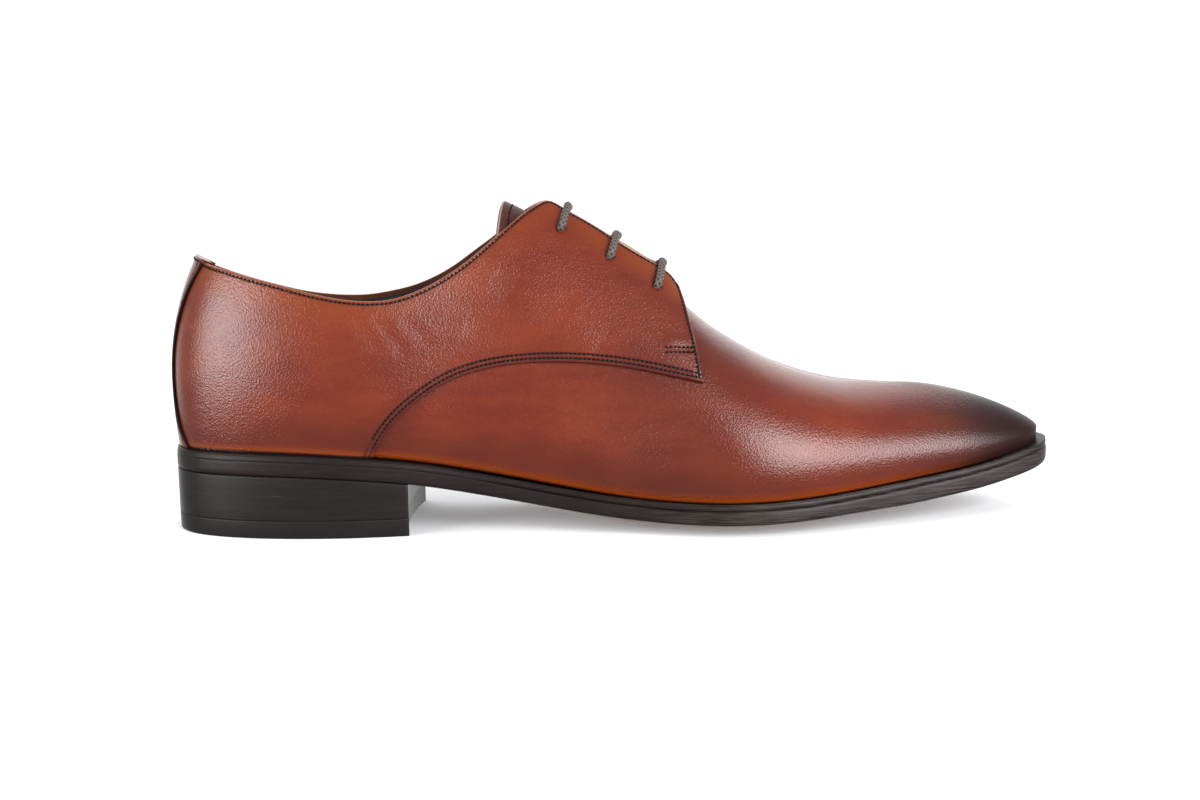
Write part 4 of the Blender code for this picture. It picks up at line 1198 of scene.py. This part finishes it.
def insole():
    """Sock lining on the midsole, inside the wall, slightly crowned."""
    shares = even_shares(160)
    x = station(shares)
    inset = SOLE("margin", x) - quarter_face(shares) + QUARTER + LAP + WALL + 0.1
    spread = np.sin(np.linspace(0, np.pi / 2, 20))
    layers = []
    for up in (2.5, 0.0):
        halves = []
        for side in (-1, 1):
            rim, _ = outline(shares, side, inset)
            other, _ = outline(shares, -side, inset)
            middle = (rim + other) / 2
            plan = middle + (rim - middle) * spread[:, None, None]
            dome = np.clip((1 - spread) / 0.55, 0, 1)[:, None]
            z = np.maximum(SOLE("rim", plan[..., 0]) - SOLE("sag", plan[..., 0]) * dome * (2 - dome), 0)
            z = z + SOLE_THICK + MIDSOLE_THICK + GAP + up
            halves.append(np.concatenate([plan, z[..., None]], -1))
        layers.append(halves)
    return slab("sock_lining", *layers, [LINING])


made(insole(), "insole_leather", "insole")


# Lace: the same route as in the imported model
EYELET_PLACES = {side: [locate(x, z, side) for x, z in zip(EYELETS.knots, EYELETS.column["z"])]
                 for side in (-1, 1)}
OVER = LACE_RADIUS + 0.12
UNDER = -(QUARTER + LACE_RADIUS + 0.45)
BESIDE = 0.045


def tangent(place, other, side):
    """Direction along the quarter from one place towards another."""
    a, b = on_quarter(place, side), on_quarter(other, side)
    return (b - a) / np.linalg.norm(b - a)


def turn_in(place, toward, side, height, start):
    """Quarter turn of the lace from an eyelet's axis onto the leather, above or below it."""
    centre = on_quarter(place, side)
    out = on_quarter(place, side, 1.0) - centre
    out /= np.linalg.norm(out)
    flat = toward - out * np.dot(toward, out)
    flat /= np.linalg.norm(flat)
    reach = abs(height - start)
    turns = np.linspace(0, np.pi / 2, 4)[:, None]
    return centre + out * (start + (height - start) * np.sin(turns)) \
        + flat * reach * (1 - np.cos(turns))


def bar(number, first_side):
    """Points of a bar: up through one eyelet, over both facing edges, down through the other."""
    halves = []
    for side in (-1, 1):
        hole = EYELET_PLACES[side][number]
        ahead = 0.005 if side < 0 else 0.005 + 0.00012 * (EYELETS.knots[number] - 70)
        share = np.array([hole[0] + ahead])
        edge = edge_share(share, side, TOPLINE[side], quarter_face(share), rise_at(share))[0]
        rim = (share[0], edge - 0.004)
        up = turn_in(hole, tangent(hole, rim, side), side, OVER, 0.0)
        between = ((hole[0] + rim[0]) / 2, (hole[1] + rim[1]) / 2)
        halves.append(np.concatenate([up, [on_quarter(between, side, OVER),
                                           on_quarter(rim, side, OVER - (0.4 if side < 0 else 0.8))]]))
    middle = (halves[0][-1] + halves[1][-1]) / 2
    first, second = halves if first_side < 0 else halves[::-1]
    return np.concatenate([first, [middle], second[::-1]])


def run_under(number, side, step):
    """Points under a facing from one eyelet to the next."""
    here, there = EYELET_PLACES[side][number], EYELET_PLACES[side][number + step]
    down = turn_in(here, tangent(here, there, side), side, UNDER, -QUARTER)
    up = turn_in(there, tangent(there, here, side), side, UNDER, -QUARTER)
    middle = ((here[0] + there[0]) / 2, (here[1] + there[1]) / 2)
    return np.concatenate([down, [on_quarter(middle, side, UNDER)], up[::-1]])


def back_run(side):
    """Points from the lowest eyelet under the facing, beside the other runs, to the top one."""
    top, middle, low = EYELET_PLACES[side]
    down = turn_in(low, tangent(low, middle, side), side, UNDER, -QUARTER)
    beside = []
    for start, end, share in ((low, middle, 0.6), (low, middle, 1.0), (middle, top, 0.5),
                              (middle, top, 1.0)):
        place = np.array(start) * (1 - share) + np.array(end) * share
        beside.append(on_quarter(place - (0, BESIDE), side, UNDER))
    return [*down, *beside]


def braid(run, turn):
    """Relief of the braid: two sets of strands, 4 round each way, the higher one showing."""
    one = np.sin(run * 4.2 + turn * 4)
    two = np.sin(run * 4.2 - turn * 4)
    return 0.05 * np.maximum(one, two) - 0.03


route = [on_quarter(EYELET_PLACES[-1][0], -1, -QUARTER - depth) for depth in (2.2, 0.8)]
route += [*bar(0, -1), *run_under(0, 1, 1), *bar(1, 1), *run_under(1, -1, 1), *bar(2, -1)]
route += back_run(1)
made(tube("lace_braid", route, LACE_RADIUS + 0.02, BRAID, around=24, weave=braid, step=0.14),
     "lace_cord", "lace")


# Threads
def chain(points, normal):
    """Points with a normal each, as one array."""
    return np.concatenate([points, normal], -1)


for side in (-1, 1):
    made_up = sides[side]
    outer = made_up["all"]
    first, facing = made_up["first"], made_up["facing_d"]
    seam_columns = [j for j in range(first - 1, outer.shape[1]) if facing[0, j] > 1.3]
    rows = [row_at(outer, made_up["seam_d"], d, seam_columns) for d in (1.35, 2.85)]
    top_columns = [j for j in range(6, outer.shape[1]) if facing[-1, j] > 1.4]
    top_line = row_at(outer[::-1], made_up["top_d"][::-1], 1.15, top_columns)
    top_line[:, 3:] *= -1
    rows.append(top_line)
    down = [k for k in range(outer.shape[0]) if made_up["seam_d"][k, -1] > 1.3
            and made_up["top_d"][k, -1] > 1.2]
    front_line = row_at(outer[:, ::-1].transpose(1, 0, 2), facing[:, ::-1].T, 1.35, down)
    rows.append(front_line)
    for line in rows:
        middle = line[len(line) // 2]
        if middle[4] * side < 0:
            line[:, 3:] *= -1
    tack = []
    for z in (62.0, 60.5):
        places = [locate(x, z - 0.1 * (x - 128) / 10, side) for x in np.linspace(126.2, 136.2, 7)]
        centre = np.array([on_quarter(at, side, -0.08) for at in places])
        high = np.array([on_quarter(at, side, 1.0) for at in places])
        tack.append(chain(centre, high - centre))
    made(stitches(f"quarter_thread_{'outer' if side < 0 else 'inner'}", rows + tack, THREAD),
         "upper_leather")


ROWS = []
for side, grid in zip((-1, 1), tongue_rows):
    line = row_at(grid.transpose(1, 0, 2), tongue_rear.T, 3.4, range(grid.shape[0] - 4))
    line[:, 3:] *= np.where(line[:, 5:6] < 0, -1, 1)
    ROWS.append(line)
made(stitches("tongue_thread", ROWS, THREAD), "tongue_leather")
for side, grid in zip((-1, 1), strip_rows):
    made(tube(f"back_piping_{'outer' if side < 0 else 'inner'}", grid[:-6, -1], 0.55, THREAD, around=8,
              step=0.8), "strip_leather")
cap = []
for side, grid in zip((-1, 1), strip_rows):
    out = normals(grid)[-9]
    out *= np.sign((out[:, :2] * grid[-9, :, :2]).sum(1))[:, None]
    cap.append(chain(grid[-9], out))
made(stitches("strip_thread", cap, THREAD), "strip_leather")


# Camera and light
def aim(item, place, target):
    """Put a lamp at a place in millimetres, facing a target."""
    item.location = Vector(place) * MM
    item.rotation_euler = (Vector(target) - Vector(place)).to_track_quat("-Z", "Y").to_euler()


def lamp(name, place, target, size, power, colour=(1, 1, 1)):
    """Soft box: a rectangular lamp of a size in metres."""
    data = bpy.data.lights.new(name, "AREA")
    data.shape = "RECTANGLE"
    data.size, data.size_y = size
    data.energy = power
    data.color = colour
    item = bpy.data.objects.new(name, data)
    bpy.context.scene.collection.objects.link(item)
    aim(item, place, target)
    return item


def camera():
    """Camera at the photograph's angle: pitched down 7.97, rolled 0.6 and turned 4 degrees."""
    data = bpy.data.cameras.new("camera")
    data.lens, data.sensor_width = 45, 36
    data.clip_start, data.clip_end = 0.01, 50
    pitch, roll, yaw = np.arctan(210 / 1500), np.radians(0.6), np.radians(4)
    c, s, cp, sp = np.cos(roll), np.sin(roll), np.cos(pitch), np.sin(pitch)
    axes = np.array([(c, -s * sp, -s * cp), (s, c * sp, c * cp), (0, -cp, sp)]).T
    turn = np.array([(np.cos(yaw), np.sin(yaw), 0), (-np.sin(yaw), np.cos(yaw), 0), (0, 0, 1)])
    matrix = Matrix((turn @ axes).tolist()).to_4x4()
    matrix.translation = Vector((70.588, -522.021, 113.505)) * MM
    item = bpy.data.objects.new("camera", data)
    item.matrix_world = matrix
    bpy.context.scene.collection.objects.link(item)
    bpy.context.scene.camera = item


def floor():
    """Pale floor, one large sheet."""
    look = Look("pale_floor", roughness=0.9, specular=0.0)
    look.set("Base Color", (0.88, 0.89, 0.92, 1.0))
    look.set("Emission Color", (0.9, 0.95, 1.0, 1.0))
    look.set("Emission Strength", 0.12)
    mesh = bpy.data.meshes.new("floor")
    reach = 20.0
    mesh.from_pydata([(-reach, -reach, 0), (reach, -reach, 0), (reach, reach, 0),
                      (-reach, reach, 0)], [], [(0, 1, 2, 3)])
    mesh.materials.append(look.material)
    item = bpy.data.objects.new("floor", mesh)
    bpy.context.scene.collection.objects.link(item)
    item.visible_glossy = item.visible_diffuse = False
    return item


def studio():
    """Surroundings: white behind the shoe, dim above it and dimmer still in front of it."""
    world = bpy.data.worlds.new("studio")
    world.use_nodes = True
    tree = world.node_tree
    back = tree.nodes["Background"]
    back.inputs["Color"].default_value = (1, 1, 1, 1)
    axes = tree.nodes.new("ShaderNodeSeparateXYZ")
    tree.links.new(tree.nodes.new("ShaderNodeTexCoord").outputs["Generated"], axes.inputs[0])

    def step(source, low, high, start, end):
        node = tree.nodes.new("ShaderNodeMapRange")
        node.interpolation_type = "SMOOTHSTEP"
        for key, value in (("From Min", low), ("From Max", high), ("To Min", start), ("To Max", end)):
            node.inputs[key].default_value = value
        tree.links.new(source, node.inputs["Value"])
        return node.outputs[0]

    wide, back_of = tree.nodes.new("ShaderNodeMath"), tree.nodes.new("ShaderNodeMath")
    wide.operation, back_of.operation = "ABSOLUTE", "MULTIPLY_ADD"
    tree.links.new(axes.outputs["X"], wide.inputs[0])
    tree.links.new(wide.outputs[0], back_of.inputs[0])
    back_of.inputs[1].default_value = -0.4
    tree.links.new(axes.outputs["Y"], back_of.inputs[2])
    behind = step(back_of.outputs[0], 0.15, 0.6, DIM, 1.7)
    above = step(axes.outputs["Z"], 0.3, 0.7, 0.0, HIGH)
    join = None
    for source in (behind, above):
        most = tree.nodes.new("ShaderNodeMath")
        most.operation = "MAXIMUM"
        tree.links.new(source, most.inputs[0])
        if join:
            tree.links.new(join, most.inputs[1])
        join = most.outputs[0]
    tree.links.new(join, back.inputs["Strength"])
    bpy.context.scene.world = world


def screen(place, angle, power, only):
    """Wide overhead screen for the floor alone, the same strength all over it."""
    data = bpy.data.lights.new("floor_screen", "SUN")
    data.energy = power
    data.angle = np.radians(angle)
    item = bpy.data.objects.new("floor_screen", data)
    bpy.context.scene.collection.objects.link(item)
    aim(item, place, (0, 0, 0))
    lit = bpy.data.collections.new("floor_lit")
    lit.objects.link(only)
    item.light_linking.receiver_collection = lit


DIM = 0.05
HIGH = 0.3
camera()
pale = floor()
studio()
screen((60, 420, 900), 140, 1.45, pale)
lamp("left_box", (-950, -620, 205), (-10, -20, 50), (0.70, 0.68), 15.5)
lamp("right_box", (830, -885, 350), (180, -40, 30), (0.86, 0.92), 26)
bpy.context.scene.view_settings.view_transform = "Standard"
